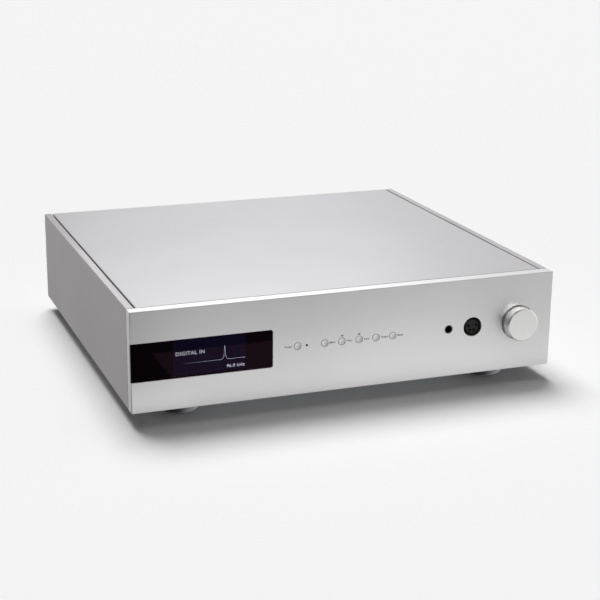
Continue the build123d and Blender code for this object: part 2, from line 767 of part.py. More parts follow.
with BuildPart() as tact_switches:
    with BuildSketch(across(button_board_y)):
        with Locations(*[(x, control_z) for x in button_x]):
            Rectangle(switch_size, switch_size)
    extrude(amount=switch_height)
    with BuildSketch(across(switch_face_y + switch_height / 2 + button_travel + button_rest_gap)):
        with Locations(*[(x, control_z) for x in button_x]):
            Circle(button_stem_radius + switch_bore_gap)
    extrude(amount=switch_height, mode=Mode.SUBTRACT)
tact_switches.part.label = "tact_switches"

with BuildPart() as receiver_window:
    with BuildSketch(across(button_board_y)):
        with Locations((receiver_x, control_z)):
            Circle(receiver_radius - screw_gap)
    extrude(amount=button_board_y - front_y - button_rest_gap)
receiver_window.part.label = "receiver_window"

# ---- headphone jack ----
with BuildPart() as jack_socket:
    with BuildSketch(across(front_back_y)):
        with Locations((jack_x, control_z)):
            Circle(jack_nose_radius)
    extrude(amount=front_thickness - rim_chamfer)
    with BuildSketch(across(front_back_y + jack_body[2])):
        with Locations((jack_x, control_z)):
            RectangleRounded(jack_body[0], jack_body[1], flange_corner / 2)
    extrude(amount=jack_body[2])
    with BuildSketch(across(front_y + jack_depth)):
        with Locations((jack_x, control_z)):
            Circle(jack_bore_radius)
    extrude(amount=jack_depth, mode=Mode.SUBTRACT)
jack_socket.part.label = "jack_socket"

# ---- four-pole headphone socket: a round insert stands in a bore that takes the plug's shell ----
with BuildPart() as headphone_socket:
    with BuildSketch(across(front_back_y + headphone_body[2])):
        with Locations((headphone_x, control_z)):
            RectangleRounded(headphone_body[0], headphone_body[1], flange_corner)
    extrude(amount=headphone_body[2])
    with BuildSketch(across(front_y + headphone_depth)):
        with Locations((headphone_x, control_z)):
            Circle(headphone_hole_radius)
    extrude(amount=headphone_depth, mode=Mode.SUBTRACT)
    with BuildSketch(across(front_back_y + headphone_body[2])):
        with Locations((headphone_x, control_z)):
            Circle(headphone_insert_radius)
    extrude(amount=headphone_body[2], mode=Mode.SUBTRACT)
    with BuildSketch(across(front_back_y + headphone_body[2])):
        with Locations((headphone_x, control_z)):
            Circle(headphone_insert_radius - insert_fit)
    extrude(amount=front_thickness + headphone_body[2] - headphone_insert_recess)
    chamfer(headphone_socket.faces().sort_by(Axis.Y)[0].edges(), rim_chamfer)
    with BuildSketch(across(front_back_y + headphone_body[2])):
        with Locations((headphone_x, control_z)):
            with Locations(*headphone_contacts):
                Circle(contact_outer_radius + pin_fit)
    extrude(amount=front_thickness + headphone_body[2], mode=Mode.SUBTRACT)
headphone_socket.part.label = "headphone_socket"


# ---- volume knob on its encoder ----
def ring(y_front, y_back, outer, inner, x, z):
    """A round sleeve between two depths."""
    with BuildPart() as sleeve:
        with BuildSketch(across(y_back)):
            with Locations((x, z)):
                Circle(outer)
                Circle(inner, mode=Mode.SUBTRACT)
        extrude(amount=y_back - y_front)
    return sleeve.part


knob_back_y = well_y - knob_back_gap
knob_hollow_y = knob_back_y - knob_hollow_depth
grub_y = knob_face_y + grub_from_face
with BuildPart() as volume_knob:
    with BuildSketch(across(knob_back_y)):
        with Locations((knob_x, control_z)):
            Circle(knob_radius)
    extrude(amount=knob_back_y - knob_face_y)
    chamfer(volume_knob.faces().sort_by(Axis.Y)[0].edges(), knob_chamfer)
    with BuildSketch(across(knob_back_y)):
        with Locations((knob_x, control_z)):
            Circle(knob_hollow_radius)
    extrude(amount=knob_hollow_depth, mode=Mode.SUBTRACT)
    with BuildSketch(across(knob_back_y)):
        with Locations((knob_x, control_z)):
            Circle(shaft_radius + shaft_fit)
    extrude(amount=knob_back_y - shaft_end_y + shaft_fit, mode=Mode.SUBTRACT)
    with BuildSketch(Plane.XY.offset(control_z)):
        with Locations((knob_x, grub_y)):
            Circle(grub_radius + screw_gap)
    extrude(amount=-2 * knob_radius, mode=Mode.SUBTRACT)
volume_knob.part.label = "volume_knob"

with BuildPart() as knob_grub_screw:
    with BuildSketch(Plane.XY.offset(control_z - shaft_radius)):
        with Locations((knob_x, grub_y)):
            Circle(grub_radius)
    extrude(amount=-grub_length)
    with BuildSketch(Plane.XY.offset(control_z - shaft_radius - grub_length)):
        with Locations((knob_x, grub_y)):
            RegularPolygon(grub_radius / 2, 6, major_radius=False)
    extrude(amount=screw_hex_depth, mode=Mode.SUBTRACT)
knob_grub_screw.part.label = "knob_grub_screw"

with BuildPart() as encoder_shaft:
    with BuildSketch(across(encoder_back_y - encoder_web)):
        with Locations((knob_x, control_z)):
            Circle(shaft_radius)
    extrude(amount=encoder_back_y - encoder_web - shaft_end_y)
    chamfer(encoder_shaft.faces().sort_by(Axis.Y)[0].edges(), rim_chamfer)
encoder_shaft.part.label = "encoder_shaft"

with BuildPart() as encoder_body:
    with BuildSketch(across(encoder_back_y)):
        with Locations((knob_x, control_z)):
            RectangleRounded(encoder_size, encoder_size, encoder_pocket_corner)
    extrude(amount=encoder_depth)
    with BuildSketch(across(encoder_face_y)):
        with Locations((knob_x, control_z)):
            Circle(bushing_radius)
    extrude(amount=bushing_length)
    with BuildSketch(across(encoder_back_y - encoder_web + shaft_fit)):
        with Locations((knob_x, control_z)):
            Circle(shaft_radius + shaft_fit)
    extrude(amount=encoder_depth + bushing_length, mode=Mode.SUBTRACT)
encoder_body.part.label = "encoder_body"

with BuildPart() as encoder_nut:
    with BuildSketch(across(well_y)):
        with Locations((knob_x, control_z)):
            RegularPolygon(nut_flats / 2, 6, major_radius=False)
            Circle(bushing_radius + screw_gap, mode=Mode.SUBTRACT)
    extrude(amount=nut_thickness)
encoder_nut.part.label = "encoder_nut"


# ---- rear panel: balanced connectors ----
def flanged_shell(x, z, bore_radius):
    """A square flange on a round shell, bored from the back of the case, with its two screw holes."""
    with BuildPart() as shell:
        with BuildSketch(across(flange_face_y)):
            with Locations((x, z)):
                RectangleRounded(flange_width, flange_height, flange_corner)
        extrude(amount=flange_thickness)
        chamfer(shell.faces().sort_by(Axis.Y)[-1].edges(), edge_chamfer)
        with BuildSketch(across(flange_face_y)):
            with Locations((x, z)):
                Circle(shell_outer_radius)
        extrude(amount=flange_thickness + shell_rear)
        with BuildSketch(across(flange_face_y)):
            with Locations((x, z)):
                Circle(bore_radius)
        extrude(amount=shell_bore_depth, mode=Mode.SUBTRACT)
        with Locations(*[plane for plane in flange_screw_planes
                         if abs(plane.origin.X - x) < flange_width / 2]):
            small_screw_hole(flange_thickness)
    return shell


def balanced_output(x, z, label):
    """A connector with three pins: the shell has a notch at the top for a plug's catch."""
    shell = flanged_shell(x, z, plug_bore_radius)
    with BuildPart() as output:
        add(shell.part)
        with BuildSketch(across(flange_face_y)):
            with Locations((x, z + plug_bore_radius + key_notch[1] / 2)):
                Rectangle(key_notch[0], 2 * key_notch[1])
        extrude(amount=shell_bore_depth, mode=Mode.SUBTRACT)
        with BuildSketch(across(flange_face_y)):
            with Locations((x, z)):
                with Locations(*pin_spots):
                    Circle(pin_radius + pin_fit)
        extrude(amount=flange_thickness + shell_rear, mode=Mode.SUBTRACT)
    output.part.label = label
    return output


balanced_output_left = balanced_output(left_output_x, upper_z, "balanced_output_left")
balanced_output_right = balanced_output(right_output_x, upper_z, "balanced_output_right")

pin_tail_y = rear_y - shell_rear - pin_tail
with BuildPart() as balanced_output_pins:
    with BuildSketch(across(flange_face_y - pin_recess)):
        for output_x in (left_output_x, right_output_x):
            with Locations((output_x, upper_z)):
                with Locations(*pin_spots):
                    Circle(pin_radius)
    extrude(amount=flange_face_y - pin_recess - pin_tail_y)
    fillet(balanced_output_pins.edges().group_by(Axis.Y)[-1], pin_radius * 0.6)
balanced_output_pins.part.label = "balanced_output_pins"

digital_shell = flanged_shell(digital_input_x, upper_z, socket_bore_radius)
insert_face_y = flange_face_y - socket_insert_recess
# The latch slides in a housing of its own, which sits over the shell behind the flange.
with BuildPart() as latch_housing:
    with BuildSketch(across(rear_y - insert_fit)):
        with Locations((digital_input_x, upper_z + latch_boss[1] / 2)):
            Rectangle(*latch_boss)
    extrude(amount=shell_rear - insert_fit)
    with BuildSketch(across(rear_y)):
        with Locations((digital_input_x, upper_z)):
            Circle(shell_outer_radius + insert_fit)
    extrude(amount=shell_rear, mode=Mode.SUBTRACT)
    with BuildSketch(across(flange_face_y)):
        with Locations((digital_input_x, upper_z + latch_slot_top / 2)):
            Rectangle(latch_width + 2 * latch_gap, latch_slot_top)
    extrude(amount=latch_length + latch_travel, mode=Mode.SUBTRACT)

with BuildPart() as balanced_input:
    add(digital_shell.part)
    with BuildSketch(across(flange_face_y)):
        with Locations((digital_input_x, upper_z)):
            Circle(socket_insert_radius)
    extrude(amount=flange_thickness + shell_rear, mode=Mode.SUBTRACT)
    with BuildSketch(across(flange_face_y)):
        with Locations((digital_input_x, upper_z + latch_rise)):
            Rectangle(latch_width + 2 * latch_gap, latch_height + 2 * latch_gap)
    extrude(amount=flange_thickness, mode=Mode.SUBTRACT)
    add(latch_housing.part)
    with BuildSketch(across(insert_face_y)):
        with Locations((digital_input_x, upper_z)):
            Circle(socket_insert_radius - insert_fit)
    extrude(amount=insert_face_y - rear_y + shell_rear)
    with BuildSketch(across(flange_face_y)):
        with Locations((digital_input_x, upper_z)):
            with Locations(*pin_spots):
                Circle(contact_outer_radius + pin_fit)
    extrude(amount=flange_thickness + shell_rear, mode=Mode.SUBTRACT)
balanced_input.part.label = "balanced_input"

with BuildPart() as balanced_input_latch:
    with BuildSketch(across(flange_face_y + latch_proud)):
        with Locations((digital_input_x, upper_z + latch_rise)):
            Rectangle(latch_width, latch_height)
    extrude(amount=latch_proud + latch_length - latch_gap)
    fillet(balanced_input_latch.faces().sort_by(Axis.Y)[-1].edges(), latch_gap)
balanced_input_latch.part.label = "balanced_input_latch"

# Split sleeves that grip a plug's pins, in both sockets that have an insert.
front_sleeve_y = front_y + headphone_insert_recess + pin_recess
rear_sleeve_y = insert_face_y - pin_recess / 2
with BuildPart() as socket_contacts:
    with BuildSketch(across(front_back_y + headphone_body[2] + pin_tail)):
        with Locations((headphone_x, control_z)):
            with Locations(*headphone_contacts):
                Circle(contact_outer_radius)
    extrude(amount=front_back_y + headphone_body[2] + pin_tail - front_sleeve_y)
    with BuildSketch(across(rear_sleeve_y)):
        with Locations((digital_input_x, upper_z)):
            with Locations(*pin_spots):
                Circle(contact_outer_radius)
    extrude(amount=rear_sleeve_y - pin_tail_y)
    with BuildSketch(across(front_sleeve_y + shell_bore_depth)):
        with Locations((headphone_x, control_z)):
            with Locations(*headphone_contacts):
                Circle(contact_bore_radius)
    extrude(amount=shell_bore_depth, mode=Mode.SUBTRACT)
    with BuildSketch(across(rear_sleeve_y)):
        with Locations((digital_input_x, upper_z)):
            with Locations(*pin_spots):
                Circle(contact_bore_radius)
    extrude(amount=shell_bore_depth, mode=Mode.SUBTRACT)
socket_contacts.part.label = "socket_contacts"


# ---- rear panel: phono and clock sockets ----
def phono_socket(x, z, label):
    """A plated barrel on a hexagonal collar, with a threaded body through the panel."""
    collar_y = rear_y + phono_collar_length
    body_y = rear_y - phono_body_depth
    with BuildPart() as phono:
        with BuildSketch(across(collar_y)):
            with Locations((x, z)):
                RegularPolygon(phono_collar_flats / 2, 6, major_radius=False)
        extrude(amount=phono_collar_length)
        with BuildSketch(across(barrel_y)):
            with Locations((x, z)):
                Circle(phono_radius)
        extrude(amount=barrel_y - collar_y)
        chamfer(phono.faces().sort_by(Axis.Y)[-1].edges(), rim_chamfer)
        with BuildSketch(across(rear_y)):
            with Locations((x, z)):
                Circle(phono_body_radius)
        extrude(amount=phono_body_depth)
        with BuildSketch(across(barrel_y)):
            with Locations((x, z)):
                Circle(phono_bore_radius)
        extrude(amount=barrel_y - body_y, mode=Mode.SUBTRACT)
    phono.part.label = label
    return phono


phono_spots = [(left_output_x, lower_z), (right_output_x, lower_z), (digital_input_x, lower_z)]
phono_labels = ["phono_output_left", "phono_output_right", "phono_digital_input"]
phono_sockets = [phono_socket(x, z, label) for (x, z), label in zip(phono_spots, phono_labels)]

bnc_collar_y = rear_y + phono_collar_length
with BuildPart() as clock_socket:
    with BuildSketch(across(bnc_collar_y)):
        with Locations((clock_x, upper_z)):
            RegularPolygon(bnc_collar_flats / 2, 6, major_radius=False)
    extrude(amount=phono_collar_length)
    with BuildSketch(across(barrel_y)):
        with Locations((clock_x, upper_z)):
            Circle(bnc_radius)
    extrude(amount=barrel_y - bnc_collar_y)
    with BuildSketch(across(rear_y)):
        with Locations((clock_x, upper_z)):
            Circle(bnc_body_radius)
    extrude(amount=phono_body_depth)
    with Locations((clock_x, barrel_y - bnc_lug_from_end, upper_z)):
        Cylinder(bnc_lug_radius, 2 * bnc_lug_reach, rotation=(0, 90, 0))
    with BuildSketch(across(barrel_y)):
        with Locations((clock_x, upper_z)):
            Circle(bnc_bore_radius)
    extrude(amount=barrel_y - rear_y + phono_body_depth, mode=Mode.SUBTRACT)
clock_socket.part.label = "clock_socket"

phono_core_y = barrel_y - phono_insulator_recess
clock_core_y = barrel_y - bnc_core_recess
with BuildPart() as socket_insulators:
    with BuildSketch(across(phono_core_y)):
        with Locations(*phono_spots):
            Circle(phono_bore_radius - insulator_fit)
    extrude(amount=phono_core_y - rear_y + phono_body_depth)
    with BuildSketch(across(phono_core_y)):
        with Locations(*phono_spots):
            Circle(phono_hole_radius)
    extrude(amount=phono_hole_depth, mode=Mode.SUBTRACT)
    with BuildSketch(across(clock_core_y)):
        with Locations((clock_x, upper_z)):
            Circle(bnc_core_radius)
    extrude(amount=clock_core_y - rear_y + phono_body_depth)
    with BuildSketch(across(rear_y)):
        with Locations((clock_x, upper_z)):
            Circle(bnc_bore_radius - insulator_fit)
    extrude(amount=phono_body_depth)
    with BuildSketch(across(clock_core_y)):
        with Locations((clock_x, upper_z)):
            Circle(bnc_pin_radius)
    extrude(amount=phono_hole_depth, mode=Mode.SUBTRACT)
socket_insulators.part.label = "socket_insulators"

# ---- rear panel: optical input with its shutter ----
optical_face_y = rear_y + optical_proud
shutter_y = optical_face_y - shutter_set_back - shutter_thickness / 2
shutter_z = lower_z + optical_mouth / 2 - shutter_gap - shutter_thickness / 2
shutter_width = optical_mouth - 2 * shutter_gap
shutter_drop = optical_mouth - 2 * shutter_gap - shutter_thickness / 2
with BuildPart() as optical_input:
    with BuildSketch(across(optical_face_y)):
        with Locations((optical_x, lower_z)):
            RectangleRounded(optical_block[0], optical_block[1], edge_chamfer)
    extrude(amount=optical_depth)
    with BuildSketch(across(optical_face_y)):
        with Locations((optical_x, lower_z)):
            Rectangle(optical_mouth, optical_mouth)
    extrude(amount=optical_cavity_depth, mode=Mode.SUBTRACT)
    with Locations((optical_x, shutter_y, shutter_z)):
        Cylinder(shutter_pin_radius + shutter_pin_gap, optical_mouth + 2 * shutter_pin_length,
                 rotation=(0, 90, 0), mode=Mode.SUBTRACT)
optical_input.part.label = "optical_input"

with BuildPart() as optical_shutter:
    with BuildSketch(Plane.YZ.offset(optical_x)):
        with Locations((shutter_y, shutter_z)):
            Circle(shutter_thickness / 2)
        with Locations((shutter_y, shutter_z - shutter_drop / 2)):
            Rectangle(shutter_thickness, shutter_drop)
    extrude(amount=shutter_width / 2, both=True)
    with Locations((optical_x, shutter_y, shutter_z)):
        Cylinder(shutter_pin_radius, shutter_width + 2 * shutter_pin_length, rotation=(0, 90, 0))
optical_shutter.part.label = "optical_shutter"

# ---- rear panel: USB and network sockets ----
usb_face_y = rear_y + usb_proud
with BuildPart() as usb_socket:
    with BuildSketch(across(usb_face_y)):
        with Locations((usb_x, lower_z)):
            RectangleRounded(usb_shell[0], usb_shell[1], edge_chamfer)
    extrude(amount=usb_shell[2])
    with BuildSketch(across(usb_face_y)):
        with Locations((usb_x, lower_z)):
            mouth = Rectangle(*usb_mouth)
        chamfer(mouth.vertices().group_by(Axis.Y)[-1], usb_mouth_corner)
    extrude(amount=usb_depth, mode=Mode.SUBTRACT)
    with BuildSketch(across(usb_face_y - usb_depth + usb_tongue[2])):
        with Locations((usb_x, lower_z)):
            Rectangle(usb_tongue[0], usb_tongue[1])
    extrude(amount=usb_tongue[2])
usb_socket.part.label = "usb_socket"

network_face_y = rear_y + network_proud
with BuildPart() as network_socket:
    with BuildSketch(across(network_face_y)):
        with Locations((network_x, lower_z)):
            RectangleRounded(network_shell[0], network_shell[1], edge_chamfer)
    extrude(amount=network_shell[2])
    with BuildSketch(across(network_face_y)):
        with Locations((network_x, lower_z)):
            Rectangle(*network_mouth)
        with Locations((network_x, lower_z - (network_mouth[1] + network_clip[1]) / 2)):
            Rectangle(*network_clip)
    extrude(amount=network_depth, mode=Mode.SUBTRACT)
network_socket.part.label = "network_socket"

# ---- mains inlet ----
mains_face_y = rear_y + mains_flange[2]
mains_back_y = rear_y - mains_body_depth
mains_bottom_z = mains_z - mains_body_height / 2
inlet_z = mains_bottom_z + mains_wall + inlet_height / 2
inlet_floor_y = mains_face_y - inlet_depth
drawer_z = inlet_z + inlet_height / 2 + mains_wall + drawer_gap + drawer_height / 2
rocker_z = mains_z + mains_body_height / 2 - mains_wall - rocker_mouth / 2
rocker_y = mains_face_y - rocker_valley
blade_spots = [(-blade_spread, -blade_rise), (blade_spread, -blade_rise), (0.0, blade_rise)]
with BuildPart() as mains_inlet:
    with BuildSketch(across(mains_face_y)):
        with Locations((mains_x, mains_z)):
            RectangleRounded(mains_flange[0], mains_flange[1], mains_flange_corner)
    extrude(amount=mains_flange[2])
    chamfer(mains_inlet.faces().sort_by(Axis.Y)[-1].edges(), edge_chamfer)
    with BuildSketch(across(rear_y)):
        with Locations((mains_x, mains_z)):
            Rectangle(mains_body_width, mains_body_height)
    extrude(amount=mains_body_depth)
    with BuildSketch(across(mains_face_y)):
        with Locations((mains_x, inlet_z)):
            mouth = Rectangle(inlet_width, inlet_height)
        chamfer(mouth.vertices().group_by(Axis.Y)[-1], inlet_corner)
    extrude(amount=inlet_depth, mode=Mode.SUBTRACT)
    with BuildSketch(across(mains_face_y)):
        with Locations((mains_x, drawer_z)):
            Rectangle(drawer_width + 2 * drawer_gap, drawer_height + 2 * drawer_gap)
    extrude(amount=drawer_depth + drawer_gap, mode=Mode.SUBTRACT)
    with BuildSketch(across(mains_face_y)):
        with Locations((mains_x, rocker_z)):
            Rectangle(rocker_width + 2 * rocker_gap, rocker_mouth)
    extrude(amount=mains_face_y - rocker_y + rocker_radius + rocker_gap, mode=Mode.SUBTRACT)
    with Locations((mains_x, rocker_y, rocker_z)):
        Cylinder(rocker_trunnion_radius + rocker_trunnion_gap,
                 rocker_width + 2 * (rocker_gap + rocker_trunnion_length),
                 rotation=(0, 90, 0), mode=Mode.SUBTRACT)
    with BuildSketch(across(mains_face_y)):
        with Locations((mains_x, inlet_z)):
            with Locations(*blade_spots):
                Rectangle(blade[0] + 2 * blade_fit, blade[1] + 2 * blade_fit)
    extrude(amount=mains_flange[2] + mains_body_depth, mode=Mode.SUBTRACT)
    with Locations(*mains_screw_planes):
        small_screw_hole(mains_flange[2])
mains_inlet.part.label = "mains_inlet"

blade_tip_y = inlet_floor_y + blade[2]
with BuildPart() as mains_blades:
    with BuildSketch(across(blade_tip_y)):
        with Locations((mains_x, inlet_z)):
            with Locations(*blade_spots):
                Rectangle(blade[0], blade[1])
    extrude(amount=blade_tip_y - mains_back_y + blade_tail)
    chamfer(mains_blades.edges().group_by(Axis.Y)[-1], blade[0] / 4)
mains_blades.part.label = "mains_blades"

drawer_face_y = mains_face_y + drawer_lip
tray_front_y = mains_face_y - drawer_depth
with BuildPart() as fuse_drawer:
    with BuildSketch(across(drawer_face_y)):
        with Locations((mains_x, drawer_z)):
            Rectangle(drawer_width, drawer_height)
    extrude(amount=drawer_face_y - tray_front_y)
    chamfer(fuse_drawer.faces().sort_by(Axis.Y)[-1].edges(), rim_chamfer)
    fuse_y = tray_front_y + drawer_wall + fuse_radius + drawer_gap
    with BuildSketch(Plane.XY.offset(drawer_z + drawer_height / 2)):
        with Locations((mains_x, fuse_y)):
            Rectangle(fuse_length + drawer_gap, 2 * (fuse_radius + drawer_gap))
    extrude(amount=drawer_wall - drawer_height, mode=Mode.SUBTRACT)
    with BuildSketch(across(drawer_face_y)):
        with Locations((mains_x, drawer_z - drawer_height / 2)):
            Rectangle(drawer_height, drawer_wall * 2)
    extrude(amount=drawer_lip / 2, mode=Mode.SUBTRACT)
fuse_drawer.part.label = "fuse_drawer"

with BuildPart() as fuse:
    with BuildSketch(Plane.YZ.offset(mains_x)):
        with Locations((fuse_y, drawer_z - drawer_height / 2 + drawer_wall + fuse_radius)):
            Circle(fuse_radius)
    extrude(amount=fuse_length / 2, both=True)
fuse.part.label = "fuse"

rocker_rise_at_rim = rocker_radius * tan(radians(rocker_tilt))
with BuildPart() as mains_rocker:
    with BuildSketch(Plane.YZ.offset(mains_x)):
        with Locations(Location((rocker_y, rocker_z, 0), (0, 0, rocker_tilt))):
            Circle(rocker_radius)
            Polygon((rocker_valley, 0), (rocker_valley + rocker_rise_at_rim, rocker_radius),
                    (2 * rocker_radius, rocker_radius), (2 * rocker_radius, -rocker_radius),
                    (rocker_valley + rocker_rise_at_rim, -rocker_radius), align=None, mode=Mode.SUBTRACT)
    extrude(amount=rocker_width / 2, both=True)
    with Locations((mains_x, rocker_y, rocker_z)):
        Cylinder(rocker_trunnion_radius, rocker_width + 2 * rocker_trunnion_length, rotation=(0, 90, 0))
mains_rocker.part.label = "mains_rocker"


# ---- inside: boards on standoffs ----
def corner_spots(size, middle):
    """The four fixing holes of a board."""
    reach_x = size[0] / 2 - board_hole_inset
    reach_y = size[1] / 2 - board_hole_inset
    return [(middle[0] + i * reach_x, middle[1] + j * reach_y) for i in (-1, 1) for j in (-1, 1)]


def circuit_board(size, middle, label):
    """A flat board with a fixing hole in each corner."""
    with BuildPart() as board:
        with BuildSketch(Plane.XY.offset(board_z)):
            with Locations(middle):
                RectangleRounded(*size, standoff_radius)
            with Locations(*corner_spots(size, middle)):
                Circle(small_screw_radius, mode=Mode.SUBTRACT)
        extrude(amount=board_thickness)
    board.part.label = label
    return board


board_plans = [
    (converter_board, converter_middle, "converter_board"),
    (digital_board, digital_middle, "digital_board"),
    (power_board, power_middle, "power_board"),
]
boards = [circuit_board(*plan) for plan in board_plans]

with BuildPart() as board_standoffs:
    for size, middle, _ in board_plans:
        with BuildSketch(Plane.XY.offset(base_top_z)):
            with Locations(*corner_spots(size, middle)):
                RegularPolygon(standoff_radius, 6, major_radius=False)
                Circle(small_screw_radius, mode=Mode.SUBTRACT)
    extrude(amount=standoff_height)
    with BuildSketch(across(button_board_y)):
        with Locations(*button_spacer_spots):
            Circle(standoff_radius)
            Circle(small_screw_radius, mode=Mode.SUBTRACT)
    extrude(amount=button_board_gap)
board_standoffs.part.label = "board_standoffs"

component_z = board_z + board_thickness
chip_size = 14.0
chip_height = 2.5
relay_size = (10.0, 20.0)
relay_height = 10.0
heat_sink_size = (60.0, 14.0)
heat_sink_height = 30.0
with BuildPart() as board_components:
    with BuildSketch(Plane.XY.offset(component_z)):
        with Locations(converter_middle):
            with GridLocations(3 * chip_size, 3 * chip_size, 2, 2):
                Rectangle(chip_size, chip_size)
        with Locations(digital_middle):
            Rectangle(2 * chip_size, 2 * chip_size)
            with GridLocations(4 * chip_size, 5 * chip_size, 2, 2):
                Rectangle(chip_size, chip_size)
    extrude(amount=chip_height)
    with BuildSketch(Plane.XY.offset(component_z)):
        with Locations((converter_middle[0], converter_middle[1] + 4 * chip_size)):
            with GridLocations(2 * relay_size[0], 0, 5, 1):
                Rectangle(*relay_size)
    extrude(amount=relay_height)
    with BuildSketch(Plane.XY.offset(component_z)):
        with Locations((power_middle[0], power_middle[1] + power_board[1] / 2 - heat_sink_size[1])):
            Rectangle(*heat_sink_size)
            with Locations((0, heat_sink_size[1] / 4)):
                with GridLocations(heat_sink_size[1] / 2, 0, 8, 1):
                    Rectangle(heat_sink_size[1] / 4, heat_sink_size[1] / 2, mode=Mode.SUBTRACT)
    extrude(amount=heat_sink_height)
board_components.part.label = "board_components"

with BuildPart() as smoothing_capacitors:
    with BuildSketch(Plane.XY.offset(component_z)):
        with Locations((power_middle[0], power_middle[1] - capacitor_pitch / 2)):
            with GridLocations(capacitor_pitch, capacitor_pitch, 2, 3):
                Circle(capacitor_radius)
    extrude(amount=capacitor_height)
    chamfer(smoothing_capacitors.edges().group_by(Axis.Z)[-1], edge_chamfer)
smoothing_capacitors.part.label = "smoothing_capacitors"

# ---- inside: toroidal transformer under its clamping plate ----
with BuildPart() as transformer:
    with BuildSketch(Plane.XZ):
        with Locations(((transformer_radius + transformer_bore) / 2, transformer_height / 2)):
            RectangleRounded(transformer_radius - transformer_bore, transformer_height,
                             transformer_corner)
    revolve(axis=Axis.Z)
transformer_body = copies(transformer.part, [facing(*transformer_middle, base_top_z, (0, 0, 1))])
transformer_body.part.label = "transformer"

with BuildPart() as transformer_bolt:
    with BuildSketch(Plane.XY.offset(base_top_z + transformer_height)):
        with Locations(transformer_middle):
            Circle(transformer_plate_radius)
    extrude(amount=transformer_plate_thickness)
    with BuildSketch(Plane.XY.offset(floor_z)):
        with Locations(transformer_middle):
            Circle(transformer_bolt_radius)
    extrude(amount=base_thickness + transformer_height)
    with BuildSketch(Plane.XY.offset(base_top_z + transformer_height + transformer_plate_thickness)):
        with Locations(transformer_middle):
            RegularPolygon(transformer_bolt_head, 6, major_radius=False)
    extrude(amount=transformer_bolt_radius)
transformer_bolt.part.label = "transformer_bolt"

wall_end = rear_inner_y - seam
with BuildPart() as screening_wall:
    with BuildSketch(Plane.XY.offset(base_top_z)):
        with Locations((wall_x, (wall_start + wall_end) / 2)):
            Rectangle(wall_thickness, wall_end - wall_start)
    extrude(amount=wall_height)
    with BuildSketch(Plane.XY.offset(base_top_z)):
        with Locations((wall_x - wall_foot / 2, (wall_start + wall_end) / 2)):
            Rectangle(wall_foot, wall_end - wall_start)
    extrude(amount=wall_thickness)
screening_wall.part.label = "screening_wall"

# ---- write one file for each piece ----
pieces = [
    front_panel, left_side_panel, right_side_panel, top_cover, base_plate, rear_panel, corner_brackets,
    case_screws, connector_screws, feet, foot_pads, foot_screws, display_window, display_panel,
    display_board, *buttons, button_board, tact_switches, receiver_window, jack_socket,
    headphone_socket, volume_knob, knob_grub_screw, encoder_shaft, encoder_body, encoder_nut,
    balanced_output_left, balanced_output_right, balanced_output_pins, balanced_input,
    balanced_input_latch, socket_contacts, *phono_sockets, clock_socket, socket_insulators,
    optical_input, optical_shutter, usb_socket, network_socket, mains_inlet, mains_blades, fuse_drawer,
    fuse, mains_rocker, *boards, board_standoffs, board_components, smoothing_capacitors,
    transformer_body, transformer_bolt, screening_wall,
]
os.makedirs("parts", exist_ok=True)
for piece in pieces:
    export_step(piece.part, f"parts/{piece.part.label}.step")
print(len(pieces), "pieces written")
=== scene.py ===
from math import asin, cos, pi, radians, sin

import bpy
from bpy.props import FloatProperty, FloatVectorProperty, StringProperty
from mathutils import Euler, Matrix, Vector


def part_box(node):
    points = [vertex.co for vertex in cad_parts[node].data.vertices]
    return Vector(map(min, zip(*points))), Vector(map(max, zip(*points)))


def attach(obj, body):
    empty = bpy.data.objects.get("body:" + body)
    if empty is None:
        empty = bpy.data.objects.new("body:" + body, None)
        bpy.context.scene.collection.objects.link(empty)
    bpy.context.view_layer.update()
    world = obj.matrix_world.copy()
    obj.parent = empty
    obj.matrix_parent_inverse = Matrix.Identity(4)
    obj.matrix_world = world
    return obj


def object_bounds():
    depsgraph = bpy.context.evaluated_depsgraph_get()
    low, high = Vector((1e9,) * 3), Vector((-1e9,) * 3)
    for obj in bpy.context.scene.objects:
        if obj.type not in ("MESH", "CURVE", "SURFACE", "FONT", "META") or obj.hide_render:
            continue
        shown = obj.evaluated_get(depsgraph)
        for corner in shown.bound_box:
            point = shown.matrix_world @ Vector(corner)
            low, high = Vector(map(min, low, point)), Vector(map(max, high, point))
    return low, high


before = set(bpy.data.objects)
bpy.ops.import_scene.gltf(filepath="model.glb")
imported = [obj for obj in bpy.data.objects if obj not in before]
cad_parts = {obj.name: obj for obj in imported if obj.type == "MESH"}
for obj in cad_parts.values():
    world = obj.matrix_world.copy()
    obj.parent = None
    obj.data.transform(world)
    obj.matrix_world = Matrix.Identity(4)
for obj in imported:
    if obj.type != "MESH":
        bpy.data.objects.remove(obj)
cad_low, cad_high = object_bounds()

bl_info = {
    "name": "Full-width converter and headphone amplifier",
    "version": (1, 0, 0),
    "blender": (4, 5, 0),
    "location": "View3D > Sidebar > Converter",
    "description": "Finishes, printing and small fittings of a metal-cased audio converter",
    "category": "Object",
}

MM = 0.001
CAP_SHARE = 0.69            # a capital letter's height as a share of the font size
WAVE_CYCLES = 20            # a wave texture's own factor between its scale and its pitch
LEGEND_WEIGHT = 0.03 * MM   # how far the ink spreads past each letter's outline
FACING_FRONT = (pi / 2, 0, 0)
FACING_REAR = (pi / 2, 0, pi)
BUTTONS = ["power", "menu", "filter", "input", "output", "mute"]


def linear(hex_colour):
    """A colour given as sRGB hex, such as #C8C8CA, as linear red, green and blue."""
    channels = [int(hex_colour[i:i + 2], 16) / 255 for i in (1, 3, 5)]
    return tuple(c / 12.92 if c <= 0.04045 else ((c + 0.055) / 1.055) ** 2.4 for c in channels)


